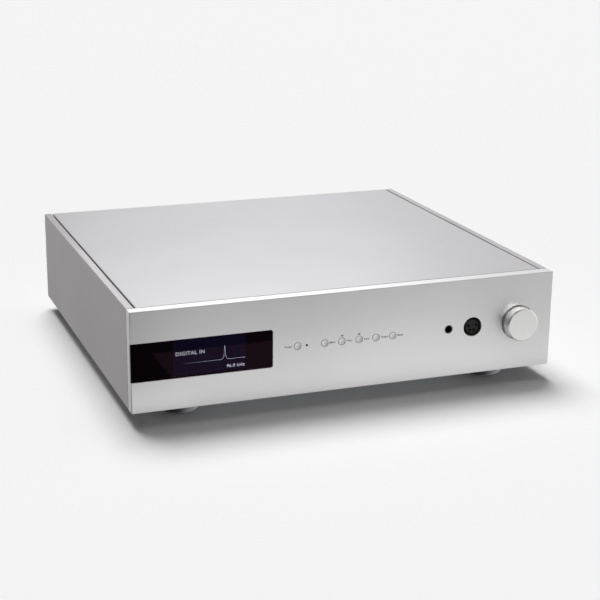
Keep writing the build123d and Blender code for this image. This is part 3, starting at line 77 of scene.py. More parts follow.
# ---- what a user may change ----
class FinishSettings(bpy.types.PropertyGroup):
    """Colours of the metalwork, the plastics and the printing."""
    panel_colour: FloatVectorProperty(
        name="Front panel", description="Anodised aluminium of the front panel",
        subtype="COLOR", size=3, min=0, max=1, default=linear("#DBDADB"))
    cover_colour: FloatVectorProperty(
        name="Top cover", description="Anodised aluminium of the top cover",
        subtype="COLOR", size=3, min=0, max=1, default=linear("#B9B8BA"))
    # The sides' tone is darker than the front panel's partly for their brushed finish and partly as painted
    # shade, standing for the dimmer light that falls on the sides.
    side_colour_with_painted_shade: FloatVectorProperty(
        name="Side panels", description="Brushed and anodised aluminium of the sides",
        subtype="COLOR", size=3, min=0, max=1, default=linear("#B8B4B6"))
    knob_colour: FloatVectorProperty(
        name="Knob and buttons", description="Turned aluminium of the knob and the buttons",
        subtype="COLOR", size=3, min=0, max=1, default=linear("#F0F0EE"))
    plastic_colour: FloatVectorProperty(
        name="Black mouldings", description="Moulded plastic of the sockets",
        subtype="COLOR", size=3, min=0, max=1, default=linear("#0C0C0D"))
    ink_colour: FloatVectorProperty(
        name="Dark ink", description="Screen-printed legends on the bare metal",
        subtype="COLOR", size=3, min=0, max=1, default=linear("#141315"))


class PrintSettings(bpy.types.PropertyGroup):
    """Words and sizes of the printing and of the display's picture."""
    title: StringProperty(
        name="Title", description="Upper line of the display", default="DIGITAL IN")
    readout: StringProperty(
        name="Readout", description="Lower line of the display", default="96.0 kHz")
    title_height: FloatProperty(
        name="Title height", description="Height of the title's capitals",
        subtype="DISTANCE", unit="LENGTH", default=3.7 * MM, min=1 * MM, max=20 * MM)
    readout_height: FloatProperty(
        name="Readout height", description="Height of the readout's capitals",
        subtype="DISTANCE", unit="LENGTH", default=3.1 * MM, min=1 * MM, max=20 * MM)
    trace_width: FloatProperty(
        name="Trace width", description="Width of the display's bright line",
        subtype="DISTANCE", unit="LENGTH", default=0.22 * MM, min=0.1 * MM, max=2 * MM)
    legend_height: FloatProperty(
        name="Front legends", description="Height of the capitals beside the buttons",
        subtype="DISTANCE", unit="LENGTH", default=1.95 * MM, min=0.5 * MM, max=5 * MM)
    rear_legend_height: FloatProperty(
        name="Rear legends", description="Height of the capitals beside the sockets",
        subtype="DISTANCE", unit="LENGTH", default=2.2 * MM, min=0.5 * MM, max=5 * MM)
    ink_thickness: FloatProperty(
        name="Ink thickness", description="How far the ink stands on the metal",
        subtype="DISTANCE", unit="LENGTH", default=0.03 * MM, min=0.01 * MM, max=0.2 * MM)


class StageSettings(bpy.types.PropertyGroup):
    """The floor, the lights and the camera."""
    floor_colour: FloatVectorProperty(
        name="Floor", description="Pale studio paper under the object",
        subtype="COLOR", size=3, min=0, max=1, default=linear("#F4F4F4"))
    room_right: FloatProperty(
        name="Room on the right", description="Brightness of the room that the metal mirrors on its right",
        default=1.04, min=0, max=3)
    room_behind: FloatProperty(
        name="Room behind", description="Brightness of the room that the metal mirrors behind it",
        default=0.61, min=0, max=3)
    room_below: FloatProperty(
        name="Room below", description="Brightness of the floor that the metal mirrors below it",
        default=0.10, min=0, max=3)
    floor_light: FloatProperty(
        name="Floor's light", description="Share of the lights that whiten the floor and throw the shadow",
        default=0.93, min=0, max=3)
    azimuth: FloatProperty(
        name="Azimuth", description="Way that the camera looks, turned from straight at the front panel",
        subtype="ANGLE", unit="ROTATION", default=radians(-20.6))
    elevation: FloatProperty(
        name="Elevation", description="How steeply the camera looks down",
        subtype="ANGLE", unit="ROTATION", default=radians(16.93))
    roll: FloatProperty(
        name="Roll", description="Turn of the picture about the line of sight",
        subtype="ANGLE", unit="ROTATION", default=radians(0.58))
    lens: FloatProperty(
        name="Lens", description="Focal length on a 36 mm sensor, in mm", default=86.4, min=10, max=300)


# ---- nodes and materials ----
def add_node(tree, kind, values=(), links=(), **settings):
    """Adds a node: settings are its own choices, values fill sockets and links feed them."""
    made = tree.nodes.new(kind)
    for setting, choice in settings.items():
        setattr(made, setting, choice)
    for socket, value in dict(values).items():
        made.inputs[socket].default_value = value
    for socket, source in dict(links).items():
        tree.links.new(source, made.inputs[socket])
    return made


def per_metre(size_mm):
    """A texture's scale for features of that size."""
    return 1.0 / (size_mm * MM)


def start_material(name, **values):
    """A material with its shader, whose patterns are read in the object's own metres."""
    made = bpy.data.materials.new(name)
    made.use_nodes = True
    tree = made.node_tree
    tree.nodes.clear()
    named = {socket.replace("_", " "): value for socket, value in values.items()}
    shader = add_node(tree, "ShaderNodeBsdfPrincipled", named)
    add_node(tree, "ShaderNodeOutputMaterial", links={"Surface": shader.outputs["BSDF"]})
    place = add_node(tree, "ShaderNodeTexCoord").outputs["Object"]
    return made, tree, shader, place


def opaque(colour, share=1.0):
    """Linear red, green and blue with an alpha of one, darkened to a share."""
    return tuple(c * share for c in colour) + (1.0,)


def tint(tree, share, first, second):
    """A colour between two, by a share."""
    return add_node(tree, "ShaderNodeMix", {6: first, 7: second}, {0: share}, data_type="RGBA").outputs[2]


def spread(tree, value, low, high):
    """A value from 0 to 1 spread over a range."""
    made = add_node(tree, "ShaderNodeMapRange", {"To Min": low, "To Max": high}, {"Value": value})
    return made.outputs["Result"]


def relief(tree, height, strength, distance):
    """The surface's direction, tipped by a pattern's height."""
    return add_node(tree, "ShaderNodeBump", {"Strength": strength, "Distance": distance},
                    {"Height": height}).outputs["Normal"]


def wire(tree, shader, **sources):
    """Feeds the shader's sockets, named with underscores for spaces."""
    for socket, source in sources.items():
        tree.links.new(source, shader.inputs[socket.replace("_", " ")])


def bead_blasted_aluminium(name, colour, roughness):
    """Aluminium plate, bead blasted and clear anodised: satin, with a fine grain that has no direction."""
    made, tree, shader, place = start_material(name, Metallic=1.0)
    # The beads leave dimples of about 0.1 mm, drawn four times as coarse so that they show.
    grain = add_node(tree, "ShaderNodeTexNoise", {"Scale": per_metre(0.4), "Detail": 2.0}, {"Vector": place})
    # The anodic film differs a little in tone over a hand's width.
    film = add_node(tree, "ShaderNodeTexNoise", {"Scale": per_metre(120), "Detail": 2.0}, {"Vector": place})
    mottle = add_node(tree, "ShaderNodeTexNoise", {"Scale": per_metre(1.1), "Detail": 3.0},
                      {"Vector": place})
    speck = add_node(tree, "ShaderNodeMath", {1: 0.35}, {0: mottle.outputs["Fac"]}, operation="MULTIPLY")
    blend = add_node(tree, "ShaderNodeMath", links={0: film.outputs["Fac"], 1: speck.outputs[0]},
                     operation="ADD")
    tone = tint(tree, blend.outputs[0], opaque(colour, 0.93), opaque(colour, 1.05))
    sheen = spread(tree, film.outputs["Fac"], roughness - 0.03, roughness + 0.03)
    dimples = relief(tree, grain.outputs["Fac"], 0.22, 0.03 * MM)
    wire(tree, shader, Base_Color=tone, Roughness=sheen, Normal=dimples)
    return made


def brushed_aluminium(name, colour, roughness, stretch):
    """Aluminium brushed with a fine belt and clear anodised: hairlines, stretched along one way."""
    made, tree, shader, place = start_material(name, Metallic=1.0, Anisotropic=0.35)
    along = add_node(tree, "ShaderNodeMapping", {"Scale": stretch}, {"Vector": place})
    # The belt's scratches are near 0.05 mm wide, drawn at 0.5 mm so that they show.
    hairlines = add_node(tree, "ShaderNodeTexNoise", {"Scale": per_metre(0.5), "Detail": 3.0},
                         {"Vector": along.outputs["Vector"]})
    film = add_node(tree, "ShaderNodeTexNoise", {"Scale": per_metre(90), "Detail": 2.0}, {"Vector": place})
    tone = tint(tree, hairlines.outputs["Fac"], opaque(colour, 0.93), opaque(colour, 1.04))
    sheen = spread(tree, film.outputs["Fac"], roughness - 0.04, roughness + 0.04)
    scratches = relief(tree, hairlines.outputs["Fac"], 0.12, 0.03 * MM)
    wire(tree, shader, Base_Color=tone, Roughness=sheen, Normal=scratches)
    return made


def turned_aluminium(name, colour, roughness, middle, turn=(0, 0, 0)):
    """Aluminium turned on a lathe and anodised: fine rings round its axis, with the sheen that they give."""
    made, tree, shader, place = start_material(name, Metallic=1.0)
    centred = add_node(tree, "ShaderNodeMapping", {"Location": middle, "Rotation": turn}, {"Vector": place},
                       vector_type="TEXTURE")
    # The tool's feed is about 0.08 mm a turn, drawn at 0.5 mm so that it shows.
    rings = add_node(tree, "ShaderNodeTexWave",
                     {"Scale": per_metre(0.5) / WAVE_CYCLES, "Distortion": 0.6, "Detail": 1.0},
                     {"Vector": centred.outputs["Vector"]}, wave_type="RINGS", rings_direction="Z")
    film = add_node(tree, "ShaderNodeTexNoise", {"Scale": per_metre(12), "Detail": 2.0}, {"Vector": place})
    tone = tint(tree, film.outputs["Fac"], opaque(colour, 0.95), opaque(colour, 1.03))
    sheen = spread(tree, film.outputs["Fac"], roughness - 0.03, roughness + 0.03)
    feed = relief(tree, rings.outputs["Fac"], 0.08, 0.02 * MM)
    wire(tree, shader, Base_Color=tone, Roughness=sheen, Normal=feed)
    return made


def plated_metal(name, colour, roughness, cell_mm, unevenness):
    """Metal with an electroplated coat: bright, with faint cells where the coat grew at different speeds."""
    made, tree, shader, place = start_material(name, Metallic=1.0)
    cells = add_node(tree, "ShaderNodeTexVoronoi", {"Scale": per_metre(cell_mm)}, {"Vector": place},
                     feature="SMOOTH_F1")
    haze = add_node(tree, "ShaderNodeTexNoise", {"Scale": per_metre(cell_mm * 6), "Detail": 3.0},
                    {"Vector": place})
    tone = tint(tree, cells.outputs["Distance"], opaque(colour, 1 - unevenness), opaque(colour))
    sheen = spread(tree, haze.outputs["Fac"], roughness * 0.7, roughness * 1.4)
    ripple = relief(tree, haze.outputs["Fac"], 0.1, 0.02 * MM)
    wire(tree, shader, Base_Color=tone, Roughness=sheen, Normal=ripple)
    return made


def moulded_plastic(name, colour, roughness, grain_mm, index):
    """Injection-moulded plastic: the tool's spark-eroded grain, with a slightly uneven gloss."""
    made, tree, shader, place = start_material(name, IOR=index)
    grain = add_node(tree, "ShaderNodeTexNoise", {"Scale": per_metre(grain_mm), "Detail": 2.0},
                     {"Vector": place})
    flow = add_node(tree, "ShaderNodeTexNoise", {"Scale": per_metre(9), "Detail": 2.0}, {"Vector": place})
    tone = tint(tree, flow.outputs["Fac"], opaque(colour, 0.88), opaque(colour, 1.1))
    sheen = spread(tree, flow.outputs["Fac"], roughness - 0.06, roughness + 0.06)
    texture = relief(tree, grain.outputs["Fac"], 0.25, 0.03 * MM)
    wire(tree, shader, Base_Color=tone, Roughness=sheen, Normal=texture)
    return made


def nitrile_rubber():
    """Moulded nitrile rubber: dull black, with a dusty bloom."""
    made, tree, shader, place = start_material("moulded_nitrile_rubber", IOR=1.52)
    bloom = add_node(tree, "ShaderNodeTexNoise", {"Scale": per_metre(5), "Detail": 5.0}, {"Vector": place})
    pores = add_node(tree, "ShaderNodeTexNoise", {"Scale": per_metre(0.5), "Detail": 2.0}, {"Vector": place})
    tone = tint(tree, bloom.outputs["Fac"], opaque(linear("#151515")), opaque(linear("#2B2A29")))
    sheen = spread(tree, bloom.outputs["Fac"], 0.7, 0.92)
    skin = relief(tree, pores.outputs["Fac"], 0.4, 0.05 * MM)
    wire(tree, shader, Base_Color=tone, Roughness=sheen, Normal=skin)
    return made


def smoked_acrylic():
    """Cast acrylic, dyed dark and polished, with an anti-reflection coat that mirrors a faint wine red."""
    made, tree, shader, place = start_material(
        "polished_smoked_acrylic", IOR=1.49, Transmission_Weight=1.0, Specular_IOR_Level=0.12,
        Specular_Tint=(0.21, 0.095, 0.16, 1.0))
    dye = add_node(tree, "ShaderNodeTexNoise", {"Scale": per_metre(40), "Detail": 1.0}, {"Vector": place})
    tone = tint(tree, dye.outputs["Fac"], opaque(linear("#29292B")), opaque(linear("#2B2B2D")))
    polish = spread(tree, dye.outputs["Fac"], 0.0, 0.006)
    wire(tree, shader, Base_Color=tone, Roughness=polish)
    return made


def display_glass():
    """The display's cover glass over its dot matrix: black, with the faint blue glow of unlit dots."""
    made, tree, shader, place = start_material(
        "oled_cover_glass", IOR=1.52, Roughness=0.15, Base_Color=opaque(linear("#0A0A12")),
        Emission_Strength=1.0)
    # The dots are 0.3 mm apart.
    dots = add_node(tree, "ShaderNodeTexVoronoi", {"Scale": per_metre(0.3), "Randomness": 0.0},
                    {"Vector": place})
    glow = tint(tree, dots.outputs["Distance"], opaque(linear("#3A4CA0")), opaque(linear("#30408C")))
    wire(tree, shader, Emission_Color=glow)
    return made


def display_light(name, colour, strength, dim_from, dim_to, dimmest):
    """Lit dots of the display: a cool white light that rises from its dimmest between two places along X."""
    made, tree, shader, place = start_material(
        name, IOR=1.5, Roughness=0.4, Base_Color=opaque(linear("#202028")), Emission_Strength=strength)
    dots = add_node(tree, "ShaderNodeTexVoronoi", {"Scale": per_metre(0.3), "Randomness": 0.0},
                    {"Vector": place})
    lit = tint(tree, dots.outputs["Distance"], opaque(colour), opaque(colour, 0.8))
    spot = add_node(tree, "ShaderNodeSeparateXYZ", links={"Vector": place})
    rise = add_node(tree, "ShaderNodeMapRange",
                    {"From Min": dim_from, "From Max": dim_to, "To Min": dimmest},
                    {"Value": spot.outputs["X"]})
    level = add_node(tree, "ShaderNodeMix", {6: opaque(colour, 0.0)},
                     {0: rise.outputs["Result"], 7: lit}, data_type="RGBA")
    wire(tree, shader, Emission_Color=level.outputs[2])
    return made


def dark_polycarbonate():
    """Infra-red passing polycarbonate: glossy and black to the eye."""
    made, tree, shader, place = start_material("infra_red_polycarbonate", IOR=1.58, Roughness=0.08)
    dye = add_node(tree, "ShaderNodeTexNoise", {"Scale": per_metre(1), "Detail": 1.0}, {"Vector": place})
    tone = tint(tree, dye.outputs["Fac"], opaque(linear("#050304")), opaque(linear("#0A0608")))
    wire(tree, shader, Base_Color=tone)
    return made


def screen_ink(name, colour):
    """Screen-printed epoxy ink: matt, with slightly ragged density."""
    made, tree, shader, place = start_material(name, IOR=1.5, Roughness=0.55)
    density = add_node(tree, "ShaderNodeTexNoise", {"Scale": per_metre(0.4), "Detail": 3.0},
                       {"Vector": place})
    tone = tint(tree, density.outputs["Fac"], opaque(colour, 0.85), opaque(colour, 1.15))
    wire(tree, shader, Base_Color=tone)
    return made


def circuit_board():
    """Glass-epoxy board under green solder resist: raised tracks show as lighter lines with a sheen."""
    made, tree, shader, place = start_material("solder_resist_on_glass_epoxy", IOR=1.55)
    # Tracks and gaps of about 2 mm.
    tracks = add_node(tree, "ShaderNodeTexVoronoi", {"Scale": per_metre(5)}, {"Vector": place},
                      feature="DISTANCE_TO_EDGE")
    bands = add_node(tree, "ShaderNodeTexWave",
                     {"Scale": per_metre(4) / WAVE_CYCLES, "Distortion": 3.0, "Detail": 1.0},
                     {"Vector": place}, bands_direction="DIAGONAL")
    both = add_node(tree, "ShaderNodeMath", links={0: tracks.outputs["Distance"], 1: bands.outputs["Fac"]},
                    operation="MULTIPLY")
    copper = add_node(tree, "ShaderNodeMapRange", {"From Min": 0.1, "From Max": 0.16},
                      {"Value": both.outputs[0]})
    tone = tint(tree, copper.outputs["Result"], opaque(linear("#0E3B22")), opaque(linear("#1C6338")))
    sheen = spread(tree, copper.outputs["Result"], 0.42, 0.28)
    raised = relief(tree, copper.outputs["Result"], 0.5, 0.04 * MM)
    wire(tree, shader, Base_Color=tone, Roughness=sheen, Normal=raised)
    return made


def fuse_glass(node):
    """A glass tube fuse: clear in the middle, with nickel-plated caps at both ends."""
    low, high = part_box(node)
    cap_length = 5.0 * MM
    made, tree, shader, place = start_material("glass_tube_with_nickel_caps", IOR=1.52)
    spot = add_node(tree, "ShaderNodeSeparateXYZ", links={"Vector": place})
    off = add_node(tree, "ShaderNodeMath", {1: (low.x + high.x) / 2}, {0: spot.outputs["X"]},
                   operation="SUBTRACT")
    away = add_node(tree, "ShaderNodeMath", links={0: off.outputs[0]}, operation="ABSOLUTE")
    cap = add_node(tree, "ShaderNodeMath", {1: (high.x - low.x) / 2 - cap_length}, {0: away.outputs[0]},
                   operation="GREATER_THAN")
    tone = tint(tree, cap.outputs[0], opaque(linear("#DDE6E4")), opaque(linear("#C9C6BE")))
    clear = add_node(tree, "ShaderNodeMath", {0: 1.0}, {1: cap.outputs[0]}, operation="SUBTRACT")
    sheen = spread(tree, cap.outputs[0], 0.03, 0.22)
    wire(tree, shader, Base_Color=tone, Metallic=cap.outputs[0], Transmission_Weight=clear.outputs[0],
         Roughness=sheen)
    return made


def capacitor_sleeve(node):
    """Shrunk PVC sleeve over an aluminium can, whose bare end shows at the top."""
    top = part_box(node)[1].z
    made, tree, shader, place = start_material("shrunk_pvc_sleeve", IOR=1.53)
    spot = add_node(tree, "ShaderNodeSeparateXYZ", links={"Vector": place})
    bare = add_node(tree, "ShaderNodeMath", {1: top - 0.2 * MM}, {0: spot.outputs["Z"]},
                    operation="GREATER_THAN")
    wrinkle = add_node(tree, "ShaderNodeTexNoise", {"Scale": per_metre(6), "Detail": 2.0}, {"Vector": place})
    tone = tint(tree, bare.outputs[0], opaque(linear("#11151F")), opaque(linear("#C4C4C4")))
    sheen = spread(tree, wrinkle.outputs["Fac"], 0.18, 0.34)
    shrink = relief(tree, wrinkle.outputs["Fac"], 0.2, 0.2 * MM)
    wire(tree, shader, Base_Color=tone, Metallic=bare.outputs[0], Roughness=sheen, Normal=shrink)
    return made


def winding_tape(node):
    """Polyester tape lapped round a toroidal transformer: the laps fan round its axis as thin steps."""
    low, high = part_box(node)
    laps = 46
    made, tree, shader, place = start_material("lapped_polyester_tape", IOR=1.64, Roughness=0.25)
    centred = add_node(tree, "ShaderNodeMapping", {"Location": (low + high) / 2}, {"Vector": place},
                       vector_type="TEXTURE")
    angle = add_node(tree, "ShaderNodeTexGradient", links={"Vector": centred.outputs["Vector"]},
                     gradient_type="RADIAL")
    turns = add_node(tree, "ShaderNodeMath", {1: laps}, {0: angle.outputs["Fac"]}, operation="MULTIPLY")
    lap = add_node(tree, "ShaderNodeMath", links={0: turns.outputs[0]}, operation="FRACT")
    tone = tint(tree, lap.outputs[0], opaque(linear("#A8791B")), opaque(linear("#D9B24A")))
    step = relief(tree, lap.outputs[0], 0.6, 0.1 * MM)
    wire(tree, shader, Base_Color=tone, Normal=step)
    return made


def studio_paper(colour):
    """Matt background paper: even and white, with the faintest tooth."""
    made, tree, shader, place = start_material(
        "studio_background_paper", IOR=1.45, Roughness=0.9, Specular_IOR_Level=0.1)
    tooth = add_node(tree, "ShaderNodeTexNoise", {"Scale": per_metre(2), "Detail": 2.0}, {"Vector": place})
    tone = tint(tree, tooth.outputs["Fac"], opaque(colour, 0.995), opaque(colour))
    wire(tree, shader, Base_Color=tone)
    return made


# ---- making pieces ----
def middle(node):
    """The middle of a CAD node's box."""
    low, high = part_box(node)
    return (low + high) / 2


def paint(names, material):
    """Gives CAD nodes their finish and leaves their meshes alone."""
    for name in names:
        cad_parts[name].material_slots[0].material = material


def deselect():
    """Leaves nothing selected, so that the next operator works on the new piece alone."""
    for each in bpy.context.selected_objects:
        each.select_set(False)


def apply_place(piece):
    """Puts a piece's place into its mesh and leaves its object at the origin."""
    deselect()
    piece.select_set(True)
    bpy.context.view_layer.objects.active = piece
    bpy.ops.object.transform_apply(location=True, rotation=True, scale=True)


def close_mesh(piece, merge=0.001 * MM):
    """Merges doubled points and turns every face outwards."""
    deselect()
    piece.select_set(True)
    bpy.context.view_layer.objects.active = piece
    bpy.ops.object.mode_set(mode="EDIT")
    bpy.ops.mesh.select_all(action="SELECT")
    bpy.ops.mesh.remove_doubles(threshold=merge)
    bpy.ops.mesh.normals_make_consistent(inside=False)
    bpy.ops.object.mode_set(mode="OBJECT")


def join(pieces, name):
    """Joins pieces into one of that name."""
    deselect()
    for each in pieces:
        each.select_set(True)
    bpy.context.view_layer.objects.active = pieces[0]
    if len(pieces) > 1:
        bpy.ops.object.join()
    made = bpy.context.view_layer.objects.active
    made.name = name
    made.data.name = name
    return made


def finish_piece(piece, material, body):
    """Gives a new piece its material and the body that it moves with."""
    piece.data.materials.clear()
    piece.data.materials.append(material)
    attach(piece, body)
    return piece


def lettering(words, spot, height, thickness, facing, align="CENTER", weight=0.0, slant=0.0, spacing=1.0):
    """Words standing on a surface as a closed mesh, set from a spot on it; weight widens every stroke."""
    deselect()
    bpy.ops.object.text_add()
    text = bpy.context.object
    text.data.body = words
    text.data.align_x = align
    text.data.align_y = "CENTER"
    text.data.size = height / CAP_SHARE
    text.data.extrude = thickness / 2
    text.data.offset = weight
    text.data.shear = slant
    text.data.space_character = spacing
    text.data.resolution_u = 3
    bpy.ops.object.convert(target="MESH")
    made = bpy.context.object
    made.rotation_euler = facing
    outwards = Euler(facing).to_matrix() @ Vector((0, 0, 1))
    made.location = Vector(spot) + outwards * (thickness / 2)
    apply_place(made)
    close_mesh(made)
    return made


def stroke(points, radius):
    """A thin round line through points, extruded from one vertex to the next and then given a thickness."""
    deselect()
    bpy.ops.mesh.primitive_plane_add(size=radius, location=points[0])
    bpy.ops.object.mode_set(mode="EDIT")
    bpy.ops.mesh.select_all(action="SELECT")
    bpy.ops.mesh.merge(type="CENTER")
    for here, there in zip(points, points[1:]):
        step = Vector(there) - Vector(here)
        bpy.ops.mesh.extrude_region_move(TRANSFORM_OT_translate={"value": step})
    bpy.ops.object.mode_set(mode="OBJECT")
    bpy.ops.object.convert(target="CURVE")
    line = bpy.context.object
    line.data.bevel_depth = radius
    line.data.bevel_resolution = 1
    line.data.use_fill_caps = True
    bpy.ops.object.convert(target="MESH")
    made = bpy.context.object
    apply_place(made)
    close_mesh(made)
    return made


def block(spot, size, bevel):
    """A block with eased edges: spot is its middle."""
    deselect()
    bpy.ops.mesh.primitive_cube_add(size=1, location=spot, scale=size)
    made = bpy.context.object
    apply_place(made)
    bpy.ops.object.mode_set(mode="EDIT")
    bpy.ops.mesh.select_all(action="SELECT")
    bpy.ops.mesh.bevel(offset=bevel, segments=2, affect="EDGES")
    bpy.ops.object.mode_set(mode="OBJECT")
    close_mesh(made)
    return made


def copy_along(piece, count, step):
    """Copies of a piece in a row, each with its own mesh, and the piece itself first."""
    made = [piece]
    for number in range(1, count):
        twin = piece.copy()
        twin.data = piece.data.copy()
        bpy.context.scene.collection.objects.link(twin)
        twin.location = Vector(step) * number
        apply_place(twin)
        made.append(twin)
    return made


# ---- one operator for each group of like pieces ----
class DAC_OT_finish_case(bpy.types.Operator):
    """Finishes the case: the panels, the cover, the plates, the brackets and the screws"""
    bl_idname = "dac.finish_case"
    bl_label = "Finish the case"

    def execute(self, context):
        finish = context.scene.dac_finish
        paint(["front_panel"],
              bead_blasted_aluminium("bead_blasted_anodised_panel", finish.panel_colour, 0.42))
        paint(["top_cover"], bead_blasted_aluminium("bead_blasted_anodised_cover", finish.cover_colour, 0.4))
        # The sides' colour holds painted shade as well as their own brushed tone.
        paint(["left_side_panel", "right_side_panel"],
              brushed_aluminium("brushed_anodised_sides_with_painted_shade", finish.side_colour_with_painted_shade, 0.38, (1.0, 0.03, 1.0)))
        paint(["rear_panel"],
              brushed_aluminium("satin_anodised_rear_sheet", linear("#B4B4B6"), 0.42, (0.03, 1.0, 1.0)))
        paint(["base_plate", "corner_brackets", "screening_wall"],
              plated_metal("zinc_plated_steel_sheet", linear("#ACAEB0"), 0.36, 2.5, 0.16))
        paint(["case_screws", "foot_screws", "transformer_bolt"],
              plated_metal("zinc_plated_screws", linear("#9B9C9F"), 0.3, 0.8, 0.12))
        paint(["connector_screws"], plated_metal("black_oxide_screws", linear("#232325"), 0.38, 0.8, 0.3))
        return {"FINISHED"}


class DAC_OT_finish_feet(bpy.types.Operator):
    """Finishes the turned feet and their rubber pads"""
    bl_idname = "dac.finish_feet"
    bl_label = "Finish the feet"

    def execute(self, context):
        low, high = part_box("feet")
        spot = Vector(((low.x + high.x) / 2, (low.y + high.y) / 2, low.z))
        # The feet's dark grey is partly painted shade: darkened past the metal's own tone to stand for the
        # shadow under the case.
        paint(["feet"], turned_aluminium("turned_feet_with_painted_shade", linear("#7C7C7F"), 0.38, spot))
        paint(["foot_pads"], nitrile_rubber())
        return {"FINISHED"}


class DAC_OT_finish_controls(bpy.types.Operator):
    """Finishes the knob, its encoder and the push buttons with their switches"""
    bl_idname = "dac.finish_controls"
    bl_label = "Finish the controls"

    def execute(self, context):
        finish = context.scene.dac_finish
        along_y = (pi / 2, 0, 0)
        paint(["volume_knob"],
              turned_aluminium("turned_anodised_knob", finish.knob_colour, 0.36, middle("volume_knob"),
                               along_y))
        for name in BUTTONS:
            node = name + "_button"
            paint([node], turned_aluminium("turned_anodised_" + node, linear("#D2D1D2"), 0.42,
                                           middle(node), along_y))
        paint(["knob_grub_screw", "encoder_shaft"],
              plated_metal("nickel_plated_shaft", linear("#A9A8A4"), 0.28, 0.8, 0.1))
        paint(["encoder_nut"], plated_metal("nickel_plated_nut", linear("#C4C1B8"), 0.2, 1.0, 0.08))
        black = moulded_plastic("moulded_black_switch_nylon", finish.plastic_colour, 0.5, 0.4, 1.53)
        paint(["tact_switches", "encoder_body"], black)
        paint(["receiver_window"], dark_polycarbonate())
        return {"FINISHED"}


class DAC_OT_finish_display(bpy.types.Operator):
    """Finishes the smoked window and the display behind it"""
    bl_idname = "dac.finish_display"
    bl_label = "Finish the display"

    def execute(self, context):
        paint(["display_window"], smoked_acrylic())
        paint(["display_panel"], display_glass())
        return {"FINISHED"}


class DAC_OT_finish_sockets(bpy.types.Operator):
    """Finishes the sockets of the front and the rear panel"""
    bl_idname = "dac.finish_sockets"
    bl_label = "Finish the sockets"

    def execute(self, context):
        finish = context.scene.dac_finish
        black = moulded_plastic("moulded_black_socket_nylon", finish.plastic_colour, 0.42, 0.35, 1.53)
        paint(["jack_socket", "headphone_socket"],
              moulded_plastic("moulded_matt_black_nylon", linear("#060606"), 0.6, 0.35, 1.4))
        paint(["optical_input", "optical_shutter", "mains_inlet",
               "fuse_drawer"], black)
        paint(["mains_rocker"],
              moulded_plastic("glossy_black_rocker_nylon", linear("#101011"), 0.2, 0.5, 1.53))
        paint(["socket_insulators"],
              moulded_plastic("turned_white_ptfe", linear("#E7E6E1"), 0.45, 0.4, 1.38))
        paint(["balanced_output_left", "balanced_output_right", "balanced_input"],
              plated_metal("nickel_plated_die_casting", linear("#A7A59F"), 0.34, 1.2, 0.14))
        paint(["balanced_input_latch", "clock_socket", "mains_blades", "board_standoffs"],
              plated_metal("bright_nickel_plating", linear("#C6C3BA"), 0.18, 1.0, 0.08))
        paint(["balanced_output_pins", "socket_contacts"],
              plated_metal("gold_plated_contacts", linear("#E3BC63"), 0.2, 0.6, 0.08))
        paint(["phono_output_left", "phono_output_right", "phono_digital_input"],
              plated_metal("gold_plated_barrels", linear("#E0B85E"), 0.22, 0.9, 0.1))
        paint(["usb_socket", "network_socket"],
              plated_metal("tin_plated_steel_shells", linear("#BFC0C0"), 0.27, 1.0, 0.12))
        paint(["fuse"], fuse_glass("fuse"))
        return {"FINISHED"}


class DAC_OT_finish_inside(bpy.types.Operator):
    """Finishes what the case holds: the boards, the transformer and the capacitors"""
    bl_idname = "dac.finish_inside"
    bl_label = "Finish the inside"

    def execute(self, context):
        paint(["display_board", "button_board", "converter_board", "digital_board", "power_board"],
              circuit_board())
        paint(["board_components"],
              moulded_plastic("moulded_black_epoxy_packages", linear("#1A1A1B"), 0.5, 0.3, 1.55))
        paint(["smoothing_capacitors"], capacitor_sleeve("smoothing_capacitors"))
        paint(["transformer"], winding_tape("transformer"))
        return {"FINISHED"}


class DAC_OT_add_display_picture(bpy.types.Operator):
    """Adds the display's lit picture: a title, a thin trace with one peak and a readout"""
    bl_idname = "dac.add_display_picture"
    bl_label = "Add the display's picture"

    def execute(self, context):
        words = context.scene.dac_print
        low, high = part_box("display_panel")
        width, height = high.x - low.x, high.z - low.z
        thin = words.ink_thickness
        face = max(low.y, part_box("display_window")[1].y + 2 * thin)
        margin = 1.6 * MM
        title = lettering(words.title, (low.x + margin, face, low.z + 0.617 * height), words.title_height,
                          thin, FACING_FRONT, "LEFT", weight=-0.05 * MM, spacing=1.08)
        readout = lettering(words.readout, (high.x - margin / 2, face, low.z + 0.12 * height),
                            words.readout_height, thin, FACING_FRONT, "RIGHT", slant=0.2, spacing=1.12)
        # Along and up the picture, as shares of its width and height: a flat line with one narrow peak.
        line = [(0.125, 0.33), (0.64, 0.33), (0.68, 0.345), (0.695, 0.40), (0.703, 0.54), (0.708, 0.70),
                (0.711, 0.737), (0.714, 0.70), (0.719, 0.54), (0.728, 0.40), (0.745, 0.345), (0.79, 0.33),
                (1.0, 0.33)]
        radius = words.trace_width / 2
        points = [(low.x + along * width, face - radius, low.z + up * height) for along, up in line]
        trace = stroke(points, radius)
        white = display_light("white_display_dots", linear("#F6F6FF"), 32.0, low.x, high.x, 0.95)
        soft = display_light("soft_display_dots", linear("#D6D9F4"), 15.0, points[0][0], points[3][0], 0.04)
        for piece, name, light in ((title, "display_title", white), (readout, "display_readout", white),
                                   (trace, "display_trace", soft)):
            piece.name = name
            piece.data.name = name
            finish_piece(piece, light, "chassis")
        return {"FINISHED"}


